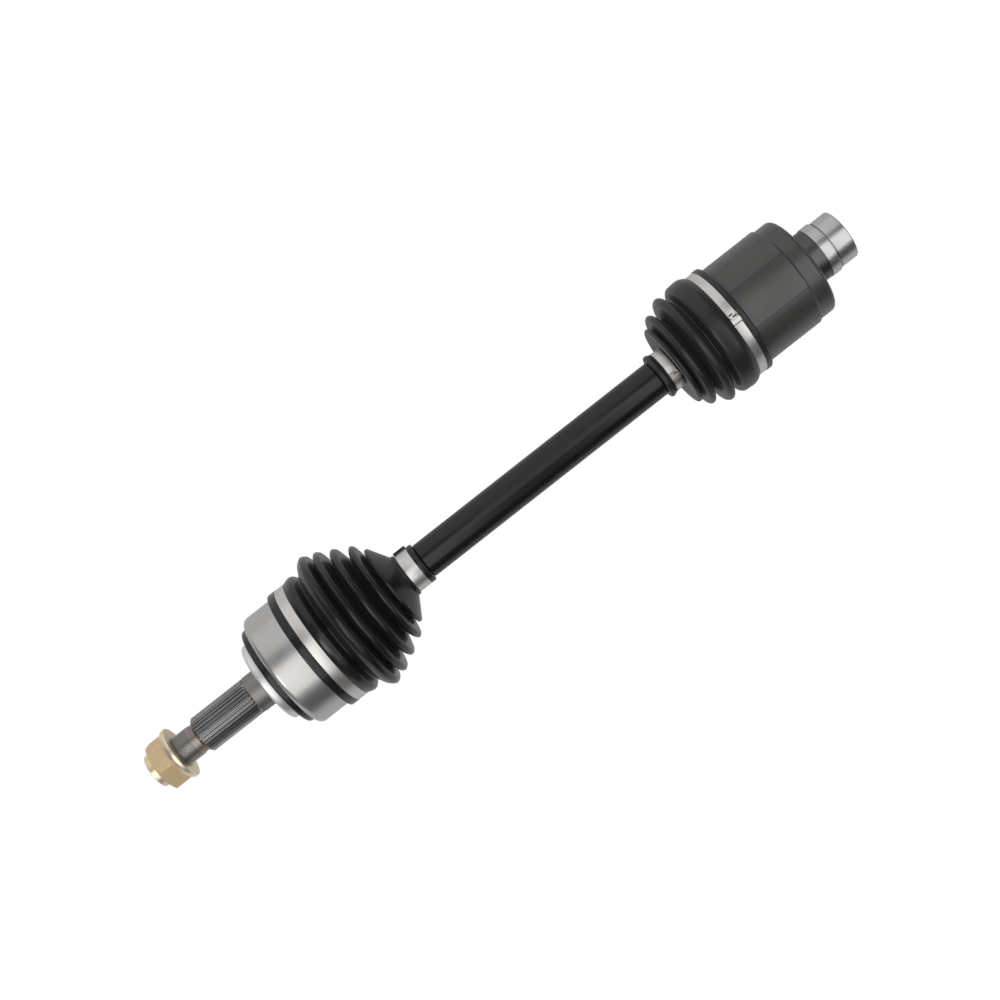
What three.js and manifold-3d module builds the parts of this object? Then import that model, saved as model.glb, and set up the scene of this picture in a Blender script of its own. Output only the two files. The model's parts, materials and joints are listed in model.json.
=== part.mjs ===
// A front-wheel-drive half-shaft: a six-ball joint at the wheel end, a solid bar, and a sliding
// tripod joint at the gearbox end, each joint sealed by a clamped bellows boot.
//
// Millimetres, +Z up. The axle lies along X, with the wheel end at -X and the gearbox end at +X.
// The origin is the middle of the axle's length, on its axis. A profile is a list of [x, radius]
// points about that axis: out along the outer skin towards +X, then back along the inner one.
// An angle about the axis is counted from +Y towards +Z.
import * as THREE from "three";
import { mergeVertices } from "three/addons/utils/BufferGeometryUtils.js";
import Module from "manifold-3d";

const wasm = await Module();
wasm.setup();

// Fits, broken edges and facets. A tool that cuts or joins runs past the piece by OVERRUN.
const GAP = 0.3;
const EDGE = 0.4;
const CHAMFER = 1;
const OVERRUN = 1;
const FINE = 20;
const MEDIUM = 16;
const COARSE = 14;
const SMALL_RING = 12;

// Main stations along X, and the main radii.
const WHEEL_END = -319;
const GEARBOX_END = 319;
const BALL_JOINT_X = -177;
const TRIPOD_X = 240;
const BAR_RADIUS = 14;
const BAR = {
  wheelEnd: -191.2,
  gearboxEnd: 255.4,
  seats: [
    [-84.3, -69.2],
    [147.8, 164],
  ],
  seatRadius: 13,
  neckRadius: 12.6,
  neckTo: 224,
};

// Stub: what passes through the wheel hub.
const STUB = {
  end: -317.5,
  threadRadius: 12,
  threadTo: -280.6,
  reliefRadius: 11.4,
  reliefTo: -276.8,
  splineFrom: -274.7,
  splineTo: -227.2,
  bossRadius: 15,
  shoulderX: -214.2,
  shoulderRadius: 22,
};
const STUB_SPLINE = { teeth: 30, root: 13.5, tip: 14.65 };

// Bell: the outer race of the ball joint.
const BELL = {
  radius: 47.3,
  from: -201,
  mouth: -158,
  cornerRadius: 4.5,
  stepX: -206.2,
  stepRadius: 41.3,
  stepChamfer: 1.8,
  grooveFrom: -168.7,
  grooveTo: -160,
  grooveRadius: 46.4,
};

// Ball joint inside: six balls on one pitch circle, in tracks whose centres are offset along the
// axis, towards the mouth on the outer race and away from it on the inner one.
const BALLS = { count: 6, radius: 8.5, pitch: 30, firstAngle: Math.PI / 2 };
const TRACK = { radius: 10.3, offset: 1.2 };
const CAGE = { outer: 34.5, inner: 28.5, halfWidth: 15, window: [8.85, 11.2], corner: 3 };
const OUTER_SPHERE = 35.3;
const INNER_RACE = { sphere: 27.8, halfWidth: 10.5 };
const BELL_BOTTOM = -27.2;
const MOUTH_CONE = { from: 12, fromRadius: 33, slope: 1.06 };
const TRACK_FACETS = [10, 20];
const BALL_FACETS = [12, 6];

// Hidden splines at the two ends of the bar.
const RACE_SPLINE = { teeth: 16, root: 12.2, tip: 13.2 };
const SPIDER_SPLINE = { teeth: 16, root: 11.4, tip: 12.4 };

// Tripod joint: the housing slides along three rollers that turn on the spider's trunnions.
const TRIPOD = { pitch: 26, angles: [Math.PI / 6, (5 * Math.PI) / 6, -Math.PI / 2] };
const ROLLER = { radius: 15, halfWidth: 6, bore: 11.9 };
const NEEDLES = { count: 14, pitch: 9.8, rise: 1.63, web: 0.4, halfLength: 5 };
const TRUNNION = { radius: 7.6, shoulder: 9.6, rootIn: 4, tip: 8.2, chamfer: 0.7 };
const RETAINER = { from: 6.35, thickness: 0.9, inner: 7, outer: 10.2, groove: 6.7, side: 0.2, cut: 3 };
const SPIDER = { radius: 17.4, halfWidth: 11, edge: 1.5 };
const HOUSING = {
  mouth: 207,
  radius: 41.6,
  grooveFrom: 210.3,
  grooveTo: 216.7,
  grooveRadius: 40.8,
  stepFrom: 266,
  stepTo: 269.6,
  stepRadius: 40.2,
  end: 282.4,
  endCorner: 3,
  neckRadius: 20.5,
  neckFillet: 3,
  collarFrom: 295.1,
  collarRadius: 21.1,
  sleeveFrom: 303.7,
  sleeveRadius: 19.9,
};
const TULIP = { bottom: 269.5, bore: 26.4, track: 16.2, lobeTop: 9.8, mouthChamfer: 3 };
const FLAT = { distance: 38.6, from: 222.5, to: 268 };
const SOCKET = { bottom: 275.5, plugBore: 15, chamfer: 1.8 };
const SOCKET_SPLINE = { teeth: 28, root: 12.9, tip: 14 };
const PLUG = { from: 270.4, depth: 4, wall: 1.4, fillet: 0.6 };

// Axle nut, with a flange towards the hub and a thin collar that is staked after fitting.
const NUT = {
  collarTo: -313.9,
  collarRadius: 13.45,
  hexTo: -300.4,
  acrossFlats: 36,
  flangeTo: -294.9,
  flangeRadius: 21,
  flangeRim: 2.2,
  flangeFall: 1.6,
  cornerFall: 2,
  turn: THREE.MathUtils.degToRad(7.6),
};
const DUST_RING = { from: -213.6, to: -207.4, radius: 32.6, wall: 1.2, corner: 1.5 };

// Snap rings on the bar, by the station of their wheel-end side.
const SNAP_RING = { radial: 2.8, axial: 1.1, cut: 4, seatDepth: 1.4, side: 0.2, play: 0.5 };
const RACE_RING_X = -189.2;
const SPIDER_RINGS_X = [227.2, 251.7];

// Boots: the skin's [x, radius] points. The wall is measured along the radius, and a bead inside
// each large end sits in the groove of what it is clamped on.
const BOOT_WALL = 3.2;
const BEAD_INSET = [0.1, 0.9];
const OUTBOARD_BOOT = {
  lip: [-175, 50.5],
  band: [-168.4, -160.3, 49],
  folds: [
    [-153.7, 51.5],
    [-148, 47.6],
    [-137.8, 57.5],
    [-133, 46],
    [-128.5, 53.9],
    [-122.8, 39],
    [-117.1, 48],
    [-111, 34],
    [-104.9, 41.5],
    [-101, 27.5],
    [-97.3, 32.9],
  ],
  neck: [-87, 17.6],
  smallBand: [-84.3, -73.6, 15.1],
  end: [-69.5, 16.1],
};
const INBOARD_BOOT = {
  lip: [148.2, 154.9, 18.6],
  smallBand: [154.9, 162.4, 15.7],
  wall: [160.9, 31],
  wallInside: [164.3, 27.8],
  cuffInside: [164, 16.7],
  folds: [
    [163, 33],
    [167, 27],
    [170.2, 39.1],
    [175.9, 31],
    [182.6, 46.3],
    [188.8, 38.5],
    [195, 46.9],
    [204.6, 46.9],
  ],
  band: [209, 217.3, 43.3],
  end: [220.5, 45.5],
};

// Clamps: seats are [from, to, radius] of the boot under the band.
const CLAMP_WALL = 1;
const SMALL_CLAMP_WALL = 0.7;
const INBOARD_SMALL_SEAT = [155.3, 161.8, 15.7];
const EAR = { width: 5.4, height: 2.5, wall: 0.9, lean: 0.5 };
const LARGE_BUCKLE = { length: 12.8, plate: 1.2, hook: 2.3 };
const SMALL_BUCKLE = { length: 8.8, plate: 1, hook: 1.9 };
const BUCKLE_INSET = 0.6;

const MATERIALS = {
  ground: { color: 0xb9b7b2, roughness: 0.32, metalness: 1 },
  forged: { color: 0x35342f, roughness: 0.5, metalness: 0.8 },
  phosphate: { color: 0x64645f, roughness: 0.42, metalness: 0.7 },
  hardened: { color: 0x8f8f90, roughness: 0.2, metalness: 1 },
  zinc: { color: 0xc09a3e, roughness: 0.38, metalness: 1 },
  paint: { color: 0x17171a, roughness: 0.4, metalness: 0.1 },
  elastomer: { color: 0x1c1b21, roughness: 0.25, metalness: 0 },
  rubber: { color: 0x2a2a30, roughness: 0.6, metalness: 0 },
  stainless: { color: 0xc4c2bd, roughness: 0.3, metalness: 1 },
};

// Building blocks.

function solidOf(geometry) {
  const bare = geometry.clone();
  bare.deleteAttribute("normal");
  bare.deleteAttribute("uv");
  const merged = mergeVertices(bare, 1e-4);
  return new wasm.Manifold(
    new wasm.Mesh({
      numProp: 3,
      vertProperties: merged.getAttribute("position").array,
      triVerts: new Uint32Array(merged.index.array),
    }),
  );
}

function geometryOf(solid) {
  const { vertProperties, triVerts } = solid.getMesh();
  const geometry = new THREE.BufferGeometry();
  geometry.setAttribute("position", new THREE.BufferAttribute(vertProperties, 3));
  geometry.setIndex(new THREE.BufferAttribute(triVerts, 1));
  const flat = geometry.toNonIndexed();
  flat.computeVertexNormals();
  return flat;
}

// A closed profile of [x, radius] points turned about the X axis. The facets straddle the ±Y and
// ±Z directions, so a round piece lies on a flat and not on an edge.
function turned(profile, facets = FINE) {
  const points = profile.map(([x, radius]) => new THREE.Vector2(radius, x));
  const onAxis = profile[0][1] === 0 && profile.at(-1)[1] === 0;
  if (!onAxis) points.push(points[0].clone());
  const start = Math.PI / facets;
  return new THREE.LatheGeometry(points, facets, start).rotateZ(-Math.PI / 2);
}

function turnedSolid(profile, facets = FINE) {
  return solidOf(turned(profile, facets));
}

// A straight-sided ring or, with no inner radius, a disc.
function ringProfile(from, to, outer, inner) {
  return inner
    ? [[from, outer], [to, outer], [to, inner], [from, inner]]
    : [[from, 0], [from, outer], [to, outer], [to, 0]];
}

// Points of an arc of the given centre and radius, angles counted from +X towards larger radii.
function arc([centreX, centreRadius], radius, from, to, steps) {
  return Array.from({ length: steps + 1 }, (_, i) => {
    const angle = from + ((to - from) * i) / steps;
    return [centreX + radius * Math.cos(angle), centreRadius + radius * Math.sin(angle)];
  });
}

// The [x, radius] points of a sphere about the origin, from one station to another.
function sphereProfile(radius, from, to, steps) {
  return arc([0, 0], radius, Math.acos(from / radius), Math.acos(to / radius), steps);
}

// A flat outline of [y, z] points run along X.
function prism(outline, from, to) {
  const shape = new THREE.Shape(outline.map(([y, z]) => new THREE.Vector2(y, z)));
  const geometry = new THREE.ExtrudeGeometry(shape, { depth: to - from, bevelEnabled: false });
  geometry.rotateY(Math.PI / 2).rotateX(Math.PI / 2);
  return geometry.translate(from, 0, 0);
}

function polar(radius, angle) {
  return [radius * Math.cos(angle), radius * Math.sin(angle)];
}

function splineOutline({ teeth, root, tip }, growth = 0) {
  const pitch = (2 * Math.PI) / teeth;
  const [rootShare, tipShare] = [0.36, 0.17];
  return Array.from({ length: teeth }, (_, i) => [
    polar(root + growth, (i - rootShare) * pitch),
    polar(tip + growth, (i - tipShare) * pitch),
    polar(tip + growth, (i + tipShare) * pitch),
    polar(root + growth, (i + rootShare) * pitch),
  ]).flat();
}

function spline(kind, from, to, growth = 0) {
  return solidOf(prism(splineOutline(kind, growth), from, to));
}

function evenAngles(count, first = 0) {
  return Array.from({ length: count }, (_, i) => first + (2 * Math.PI * i) / count);
}

function degrees(radians) {
  return THREE.MathUtils.radToDeg(radians);
}

function aboutAxis(solid, angle) {
  return solid.rotate([degrees(angle), 0, 0]);
}

function add(parent, name, shape, finish) {
  const geometry = shape.isBufferGeometry ? shape : geometryOf(shape);
  const mesh = new THREE.Mesh(geometry, new THREE.MeshStandardMaterial(MATERIALS[finish]));
  mesh.name = name;
  parent.add(mesh);
  return mesh;
}

// Ball joint.

// The three rings that the six tracks lie on: opposite tracks share one ring.
function trackRings(offset) {
  const pitch = Math.hypot(BALLS.pitch, offset);
  const torus = new THREE.TorusGeometry(pitch, TRACK.radius, ...TRACK_FACETS);
  const ring = solidOf(torus).translate([offset, 0, 0]);
  const angles = evenAngles(BALLS.count, BALLS.firstAngle).slice(0, BALLS.count / 2);
  return angles.map((angle) => aboutAxis(ring, angle)).reduce((all, next) => all.add(next));
}

// The hollow of the bell: a sphere that guides the cage, the tracks, and a cone that gives the bar
// room at full bend.
function bellHollow() {
  const end = BELL.mouth - BALL_JOINT_X + OVERRUN;
  const coneRadius = MOUTH_CONE.fromRadius + MOUTH_CONE.slope * (end - MOUTH_CONE.from);
  const chamber = turnedSolid([
    [BELL_BOTTOM, 0],
    ...sphereProfile(OUTER_SPHERE, BELL_BOTTOM, MOUTH_CONE.from, 6),
    [end, coneRadius],
    [end, 0],
  ]);
  const reach = turnedSolid(ringProfile(BELL_BOTTOM, end, BELL.radius));
  const tracks = trackRings(TRACK.offset).intersect(reach);
  return chamber.add(tracks).translate([BALL_JOINT_X, 0, 0]);
}

function stubProfile() {
  const { end, threadRadius, threadTo, reliefRadius, reliefTo, splineFrom, splineTo } = STUB;
  return [
    [end, 0],
    [end, threadRadius - CHAMFER],
    [end + CHAMFER, threadRadius],
    [threadTo, threadRadius],
    [threadTo + EDGE, reliefRadius],
    [reliefTo, reliefRadius],
    [splineFrom, STUB_SPLINE.root],
    [splineTo, STUB_SPLINE.root],
    [splineTo + EDGE, STUB.bossRadius],
    [STUB.shoulderX, STUB.bossRadius],
    [STUB.shoulderX, STUB.shoulderRadius],
  ];
}

function bellProfile() {
  const { radius, from, mouth, cornerRadius, stepX, stepRadius, stepChamfer } = BELL;
  const { grooveFrom, grooveTo, grooveRadius } = BELL;
  return [
    [stepX, STUB.shoulderRadius],
    [stepX, stepRadius - stepChamfer],
    [stepX + stepChamfer, stepRadius],
    [from, stepRadius],
    ...arc([from + cornerRadius, radius - cornerRadius], cornerRadius, Math.PI, Math.PI / 2, 3),
    [grooveFrom, radius],
    [grooveFrom + EDGE, grooveRadius],
    [grooveTo - EDGE, grooveRadius],
    [grooveTo, radius],
    [mouth - CHAMFER, radius],
    [mouth, radius - CHAMFER],
    [mouth, 0],
  ];
}

function outerRace() {
  const teeth = spline(STUB_SPLINE, STUB.splineFrom, STUB.splineTo + EDGE / 2);
  const forging = turnedSolid([...stubProfile(), ...bellProfile()]);
  return forging.add(teeth).subtract(bellHollow());
}

// A thin pressed cup round the shoulder, open towards the bell.
function dustRing() {
  const { from, to, radius, wall, corner } = DUST_RING;
  const bore = STUB.shoulderRadius + GAP;
  return turned([
    [from, bore],
    [from, radius - corner],
    [from + corner, radius],
    [to, radius],
    [to, radius - wall],
    [from + wall, radius - wall],
    [from + wall, bore],
  ]);
}

function roundedSlot([halfX, halfY], corner) {
  const shape = new THREE.Shape();
  shape.moveTo(halfX, -halfY + corner);
  shape.lineTo(halfX, halfY - corner);
  shape.absarc(halfX - corner, halfY - corner, corner, 0, Math.PI / 2);
  shape.absarc(-halfX + corner, halfY - corner, corner, Math.PI / 2, Math.PI);
  shape.absarc(-halfX + corner, -halfY + corner, corner, Math.PI, 1.5 * Math.PI);
  shape.absarc(halfX - corner, -halfY + corner, corner, 1.5 * Math.PI, 2 * Math.PI);
  return shape;
}

// A ball cage: a spherical shell with a window for each ball.
function cage() {
  const { outer, inner, halfWidth, window, corner } = CAGE;
  const shell = turnedSolid([
    ...sphereProfile(outer, -halfWidth, halfWidth, 4),
    ...sphereProfile(inner, halfWidth, -halfWidth, 4),
  ]);
  const options = { depth: BELL.radius, bevelEnabled: false, curveSegments: 1 };
  const opening = solidOf(new THREE.ExtrudeGeometry(roundedSlot(window, corner), options));
  const upright = Math.PI / 2;
  return evenAngles(BALLS.count, BALLS.firstAngle).reduce(
    (solid, angle) => solid.subtract(aboutAxis(opening, angle - upright)),
    shell,
  );
}

function innerRace() {
  const { sphere, halfWidth } = INNER_RACE;
  const blank = turnedSolid([
    [-halfWidth, 0],
    ...sphereProfile(sphere, -halfWidth, halfWidth, 4),
    [halfWidth, 0],
  ]);
  const bore = spline(RACE_SPLINE, -halfWidth - OVERRUN, halfWidth + OVERRUN, GAP);
  return blank.subtract(trackRings(-TRACK.offset)).subtract(bore);
}

// Bar.

function snapRingGroove(x, radius) {
  const { axial, seatDepth, side } = SNAP_RING;
  return [
    [x - side, radius],
    [x - side, radius - seatDepth],
    [x + axial + side, radius - seatDepth],
    [x + axial + side, radius],
  ];
}

function barProfile() {
  const { wheelEnd, gearboxEnd, seats, seatRadius, neckRadius, neckTo } = BAR;
  const [[outFrom, outTo], [inFrom, inTo]] = seats;
  const raceEnd = BALL_JOINT_X + INNER_RACE.halfWidth + 2 * GAP;
  const [nearRing, farRing] = SPIDER_RINGS_X;
  return [
    [wheelEnd, 0],
    [wheelEnd, RACE_SPLINE.root - CHAMFER],
    [wheelEnd + CHAMFER, RACE_SPLINE.root],
    ...snapRingGroove(RACE_RING_X, RACE_SPLINE.root),
    [raceEnd, RACE_SPLINE.root],
    [raceEnd, BAR_RADIUS],
    [outFrom - EDGE, BAR_RADIUS],
    [outFrom, seatRadius],
    [outTo, seatRadius],
    [outTo + EDGE, BAR_RADIUS],
    [inFrom - EDGE, BAR_RADIUS],
    [inFrom, seatRadius],
    [inTo, seatRadius],
    [inTo + CHAMFER, neckRadius],
    [neckTo, neckRadius],
    [neckTo + CHAMFER, SPIDER_SPLINE.root],
    ...snapRingGroove(nearRing, SPIDER_SPLINE.root),
    ...snapRingGroove(farRing, SPIDER_SPLINE.root),
    [gearboxEnd - CHAMFER, SPIDER_SPLINE.root],
    [gearboxEnd, SPIDER_SPLINE.root - CHAMFER],
    [gearboxEnd, 0],
  ];
}

// The teeth stop at each snap ring's groove.
function bar() {
  const raceTeeth = spline(
    RACE_SPLINE,
    RACE_RING_X + SNAP_RING.axial + SNAP_RING.side,
    BALL_JOINT_X + INNER_RACE.halfWidth + 2 * GAP + EDGE,
  );
  const [near, far] = SPIDER_RINGS_X;
  const spiderTeeth = spline(SPIDER_SPLINE, near + SNAP_RING.axial + SNAP_RING.side, far - SNAP_RING.side);
  return turnedSolid(barProfile(), MEDIUM).add(raceTeeth).add(spiderTeeth);
}

// A split ring of flat section, with its cut at the top.
function snapRing(from, barRadius) {
  const { radial, axial, cut, seatDepth, play } = SNAP_RING;
  const inner = barRadius - seatDepth + play;
  const outer = inner + radial;
  const ring = turnedSolid(ringProfile(from, from + axial, outer, inner), SMALL_RING);
  const opening = new THREE.BoxGeometry(4 * axial, cut, outer).translate(from, 0, outer);
  return ring.subtract(solidOf(opening));
}

// Tripod joint. A trunnion and all that is on it is turned about X, then stood up along +Y.

function standUp(geometry) {
  return geometry.rotateZ(Math.PI / 2);
}

function trunnion() {
  const { radius, shoulder, rootIn, tip, chamfer } = TRUNNION;
  const pitch = TRIPOD.pitch;
  const root = SPIDER.radius - rootIn;
  const grooveFrom = pitch + RETAINER.from - RETAINER.side;
  const grooveTo = pitch + RETAINER.from + RETAINER.thickness + RETAINER.side;
  const profile = [
    [root, 0],
    [root, shoulder],
    [pitch - ROLLER.halfWidth, shoulder],
    [pitch - ROLLER.halfWidth, radius],
    [grooveFrom, radius],
    [grooveFrom, RETAINER.groove],
    [grooveTo, RETAINER.groove],
    [grooveTo, radius],
    [pitch + tip - chamfer, radius],
    [pitch + tip, radius - chamfer],
    [pitch + tip, 0],
  ];
  return solidOf(standUp(turned(profile, SMALL_RING)));
}

function spider() {
  const { radius, halfWidth, edge } = SPIDER;
  const hub = turnedSolid([
    [-halfWidth, 0],
    [-halfWidth, radius - edge],
    [-halfWidth + edge, radius],
    [halfWidth - edge, radius],
    [halfWidth, radius - edge],
    [halfWidth, 0],
  ]);
  const pin = trunnion();
  const star = TRIPOD.angles.reduce((solid, angle) => solid.add(aboutAxis(pin, angle)), hub);
  return star.subtract(spline(SPIDER_SPLINE, -halfWidth - OVERRUN, halfWidth + OVERRUN, GAP));
}

// A roller's rim is part of a sphere, so that it can lean in its track.
function roller() {
  const { radius, halfWidth, bore } = ROLLER;
  const profile = [
    ...sphereProfile(radius, -halfWidth, halfWidth, 4),
    [halfWidth, bore],
    [-halfWidth, bore],
  ];
  return standUp(turned(profile, COARSE)).translate(0, TRIPOD.pitch, 0);
}

// A full row of needles, each touching the next.
function needleRow() {
  const { count, pitch, rise, web, halfLength } = NEEDLES;
  const half = Math.PI / count;
  const bulge = half / 2;
  const skin = (side) =>
    evenAngles(count).flatMap((angle) => [
      polar(pitch + side * web, angle - half),
      polar(pitch + side * rise, angle - bulge),
      polar(pitch + side * rise, angle + bulge),
    ]);
  const shape = new THREE.Shape(skin(1).map(([y, z]) => new THREE.Vector2(y, z)));
  shape.holes.push(new THREE.Path(skin(-1).map(([y, z]) => new THREE.Vector2(y, z))));
  const row = new THREE.ExtrudeGeometry(shape, { depth: 2 * halfLength, bevelEnabled: false });
  return row.translate(0, 0, -halfLength).rotateX(Math.PI / 2).translate(0, TRIPOD.pitch, 0);
}

function retainer() {
  const from = TRIPOD.pitch + RETAINER.from;
  const { thickness, inner, outer, cut } = RETAINER;
  const ring = turnedSolid(ringProfile(from, from + thickness, outer, inner), SMALL_RING);
  const opening = new THREE.BoxGeometry(4 * thickness, cut, outer).translate(from, 0, outer);
  return ring.subtract(solidOf(opening)).rotate([0, 0, 90]);
}

// The tulip's hollow: a bore for the spider, and three tracks flattened at their outer side.
function tulipHollow() {
  const { bottom, bore, track, lobeTop, mouthChamfer } = TULIP;
  const from = HOUSING.mouth - OVERRUN;
  const well = turnedSolid([
    [from, 0],
    [from, bore + mouthChamfer],
    [HOUSING.mouth + mouthChamfer, bore],
    [bottom, bore],
    [bottom, 0],
  ]);
  const trackBore = turnedSolid(ringProfile(from, bottom, track), MEDIUM);
  const roof = new THREE.BoxGeometry(bottom - from, 2 * HOUSING.radius, 4 * track);
  roof.translate((from + bottom) / 2, lobeTop - HOUSING.radius, 0);
  const lobe = trackBore.intersect(solidOf(roof)).translate([0, TRIPOD.pitch, 0]);
  return TRIPOD.angles.reduce((solid, angle) => solid.add(aboutAxis(lobe, angle)), well);
}

function housingProfile() {
  const { mouth, radius, grooveFrom, grooveTo, grooveRadius, stepFrom, stepTo } = HOUSING;
  const { stepRadius, end, endCorner, neckRadius, collarFrom, collarRadius } = HOUSING;
  const { sleeveFrom, sleeveRadius, neckFillet } = HOUSING;
  return [
    [mouth, 0],
    [mouth, radius - CHAMFER],
    [mouth + CHAMFER, radius],
    [grooveFrom, radius],
    [grooveFrom + EDGE, grooveRadius],
    [grooveTo - EDGE, grooveRadius],
    [grooveTo, radius],
    [stepFrom, radius],
    [stepTo, stepRadius],
    ...arc([end - endCorner, stepRadius - endCorner], endCorner, Math.PI / 2, 0, 3),
    [end, neckRadius + neckFillet],
    [end + neckFillet, neckRadius],
    [collarFrom, neckRadius],
    [collarFrom, collarRadius],
    [sleeveFrom, collarRadius],
    [sleeveFrom + EDGE, sleeveRadius],
    [GEARBOX_END - CHAMFER, sleeveRadius],
    [GEARBOX_END, sleeveRadius - CHAMFER],
    [GEARBOX_END, 0],
  ];
}

// Three shallow flats between the tracks, where the wall is thick.
function housingFlats() {
  const { distance, from, to } = FLAT;
  const depth = HOUSING.radius;
  const block = new THREE.BoxGeometry(to - from, depth, 2 * HOUSING.radius);
  block.translate((from + to) / 2, distance + depth / 2, 0);
  const cut = solidOf(block);
  return TRIPOD.angles.map((angle) => aboutAxis(cut, angle + Math.PI)).reduce((a, b) => a.add(b));
}

function socket() {
  const { bottom, plugBore, chamfer } = SOCKET;
  const past = GEARBOX_END + OVERRUN;
  const plugSeat = turnedSolid(ringProfile(TULIP.bottom - OVERRUN, bottom, plugBore), MEDIUM);
  const lead = turnedSolid([
    [GEARBOX_END - chamfer, 0],
    [GEARBOX_END - chamfer, SOCKET_SPLINE.root],
    [past, SOCKET_SPLINE.root + chamfer + OVERRUN],
    [past, 0],
  ]);
  return plugSeat.add(spline(SOCKET_SPLINE, bottom - OVERRUN, past)).add(lead);
}

function tripodHousing() {
  const blank = turnedSolid(housingProfile());
  return blank.subtract(tulipHollow()).subtract(housingFlats()).subtract(socket());
}

// A pressed cup that keeps the joint's grease out of the splined socket.
function greasePlug() {
  const { from, depth, wall, fillet } = PLUG;
  const radius = SOCKET.plugBore - GAP;
  return turned(
    [
      [from, 0],
      [from, radius - wall],
      [from + wall, radius],
      [from + depth, radius],
      [from + depth, radius - wall],
      [from + wall + fillet, radius - wall],
      [from + wall, radius - 2 * wall],
      [from + wall, 0],
    ],
    COARSE,
  );
}

// Axle nut.

function hexagonOutline(acrossFlats) {
  const corner = acrossFlats / Math.sqrt(3);
  return evenAngles(6, Math.PI / 2).map((angle) => polar(corner, angle));
}

function axleNut() {
  const { collarTo, collarRadius, hexTo, acrossFlats } = NUT;
  const { flangeTo, flangeRadius, flangeRim, flangeFall, cornerFall } = NUT;
  const corner = acrossFlats / Math.sqrt(3) / Math.cos(Math.PI / FINE);
  const hexEnd = hexTo + EDGE;
  const chamfer = turnedSolid([
    [collarTo, 0],
    [collarTo, acrossFlats / 2 - EDGE],
    [collarTo + cornerFall, corner],
    [hexEnd, corner],
    [hexEnd, 0],
  ]);
  const hexagon = solidOf(prism(hexagonOutline(acrossFlats), collarTo, hexEnd));
  const round = turnedSolid([
    [WHEEL_END, 0],
    [WHEEL_END, collarRadius - EDGE],
    [WHEEL_END + EDGE, collarRadius],
    [hexTo, collarRadius],
    [hexTo, flangeRadius - flangeFall],
    [flangeTo - flangeRim, flangeRadius],
    [flangeTo, flangeRadius],
    [flangeTo, 0],
  ]);
  const bore = turnedSolid(
    ringProfile(WHEEL_END - OVERRUN, flangeTo + OVERRUN, STUB.threadRadius + GAP),
    MEDIUM,
  );
  return hexagon.intersect(chamfer).add(round).subtract(bore);
}

// Boots and clamps.

function innerSkin(points) {
  return points.map(([x, radius]) => [x, radius - BOOT_WALL]).reverse();
}

// The inside of a boot's large end, over the groove of the bell or the housing.
function bead({ grooveFrom, grooveTo, grooveRadius, radius }) {
  const [foot, top] = BEAD_INSET;
  return [
    [grooveTo - foot, radius + GAP],
    [grooveTo - top, grooveRadius + GAP],
    [grooveFrom + top, grooveRadius + GAP],
    [grooveFrom + foot, radius + GAP],
  ];
}

function outboardBoot() {
  const { lip, band, folds, neck, smallBand, end } = OUTBOARD_BOOT;
  const [lipX, lipRadius] = lip;
  const [bandFrom, bandTo, bandRadius] = band;
  const [smallFrom, smallTo, smallRadius] = smallBand;
  const seat = BELL.radius + GAP;
  const hole = BAR.seatRadius + GAP;
  return turned([
    [lipX, lipRadius - CHAMFER],
    [lipX + CHAMFER, lipRadius],
    [bandFrom - GAP, lipRadius],
    [bandFrom - GAP, bandRadius],
    [bandTo + GAP, bandRadius],
    ...folds,
    neck,
    [smallFrom, neck[1]],
    [smallFrom, smallRadius],
    [smallTo, smallRadius],
    [smallTo, end[1]],
    end,
    [end[0], hole],
    [smallFrom + CHAMFER, hole],
    ...innerSkin(folds.slice(1)),
    [BELL.mouth + GAP, seat],
    ...bead(BELL),
    [lipX, seat],
  ]);
}

function inboardBoot() {
  const { lip, smallBand, wall, wallInside, cuffInside, folds, band, end } = INBOARD_BOOT;
  const [lipFrom, lipTo, lipRadius] = lip;
  const [, smallTo, smallRadius] = smallBand;
  const [bandFrom, bandTo, bandRadius] = band;
  const seat = HOUSING.radius + GAP;
  const hole = BAR.seatRadius + GAP;
  return turned([
    [lipFrom, lipRadius - CHAMFER],
    [lipFrom + CHAMFER, lipRadius],
    [lipTo - CHAMFER, lipRadius],
    [lipTo, smallRadius],
    [smallTo, smallRadius],
    wall,
    ...folds,
    [bandFrom - GAP, bandRadius],
    [bandTo + GAP, bandRadius],
    [bandTo + GAP, end[1]],
    end,
    [end[0], seat],
    ...bead(HOUSING),
    [HOUSING.mouth - GAP, seat],
    ...innerSkin(folds),
    wallInside,
    cuffInside,
    [smallTo, hole],
    [lipFrom, hole],
  ]);
}

function band(from, to, radius, wall) {
  return turnedSolid(ringProfile(from, to, radius + GAP + wall, radius + GAP));
}

// How far from the axis the middle of a band's wall is, at the middle of a facet.
function bandMiddle(radius, wall) {
  return (radius + GAP + wall / 2) * Math.cos(Math.PI / FINE);
}

// A crimped ear: two legs and a flat top pinched out of the band, at +Y.
function ear([from, to, radius], bandWall) {
  const foot = bandMiddle(radius, bandWall);
  const { width, height, wall, lean } = EAR;
  const half = width / 2;
  const waist = half - lean;
  const outline = [
    [foot, -half],
    [foot + height, -waist],
    [foot + height, waist],
    [foot, half],
    [foot, half - wall],
    [foot + height - wall, waist - wall],
    [foot + height - wall, -waist + wall],
    [foot, -half + wall],
  ];
  return solidOf(prism(outline, from, to));
}

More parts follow.
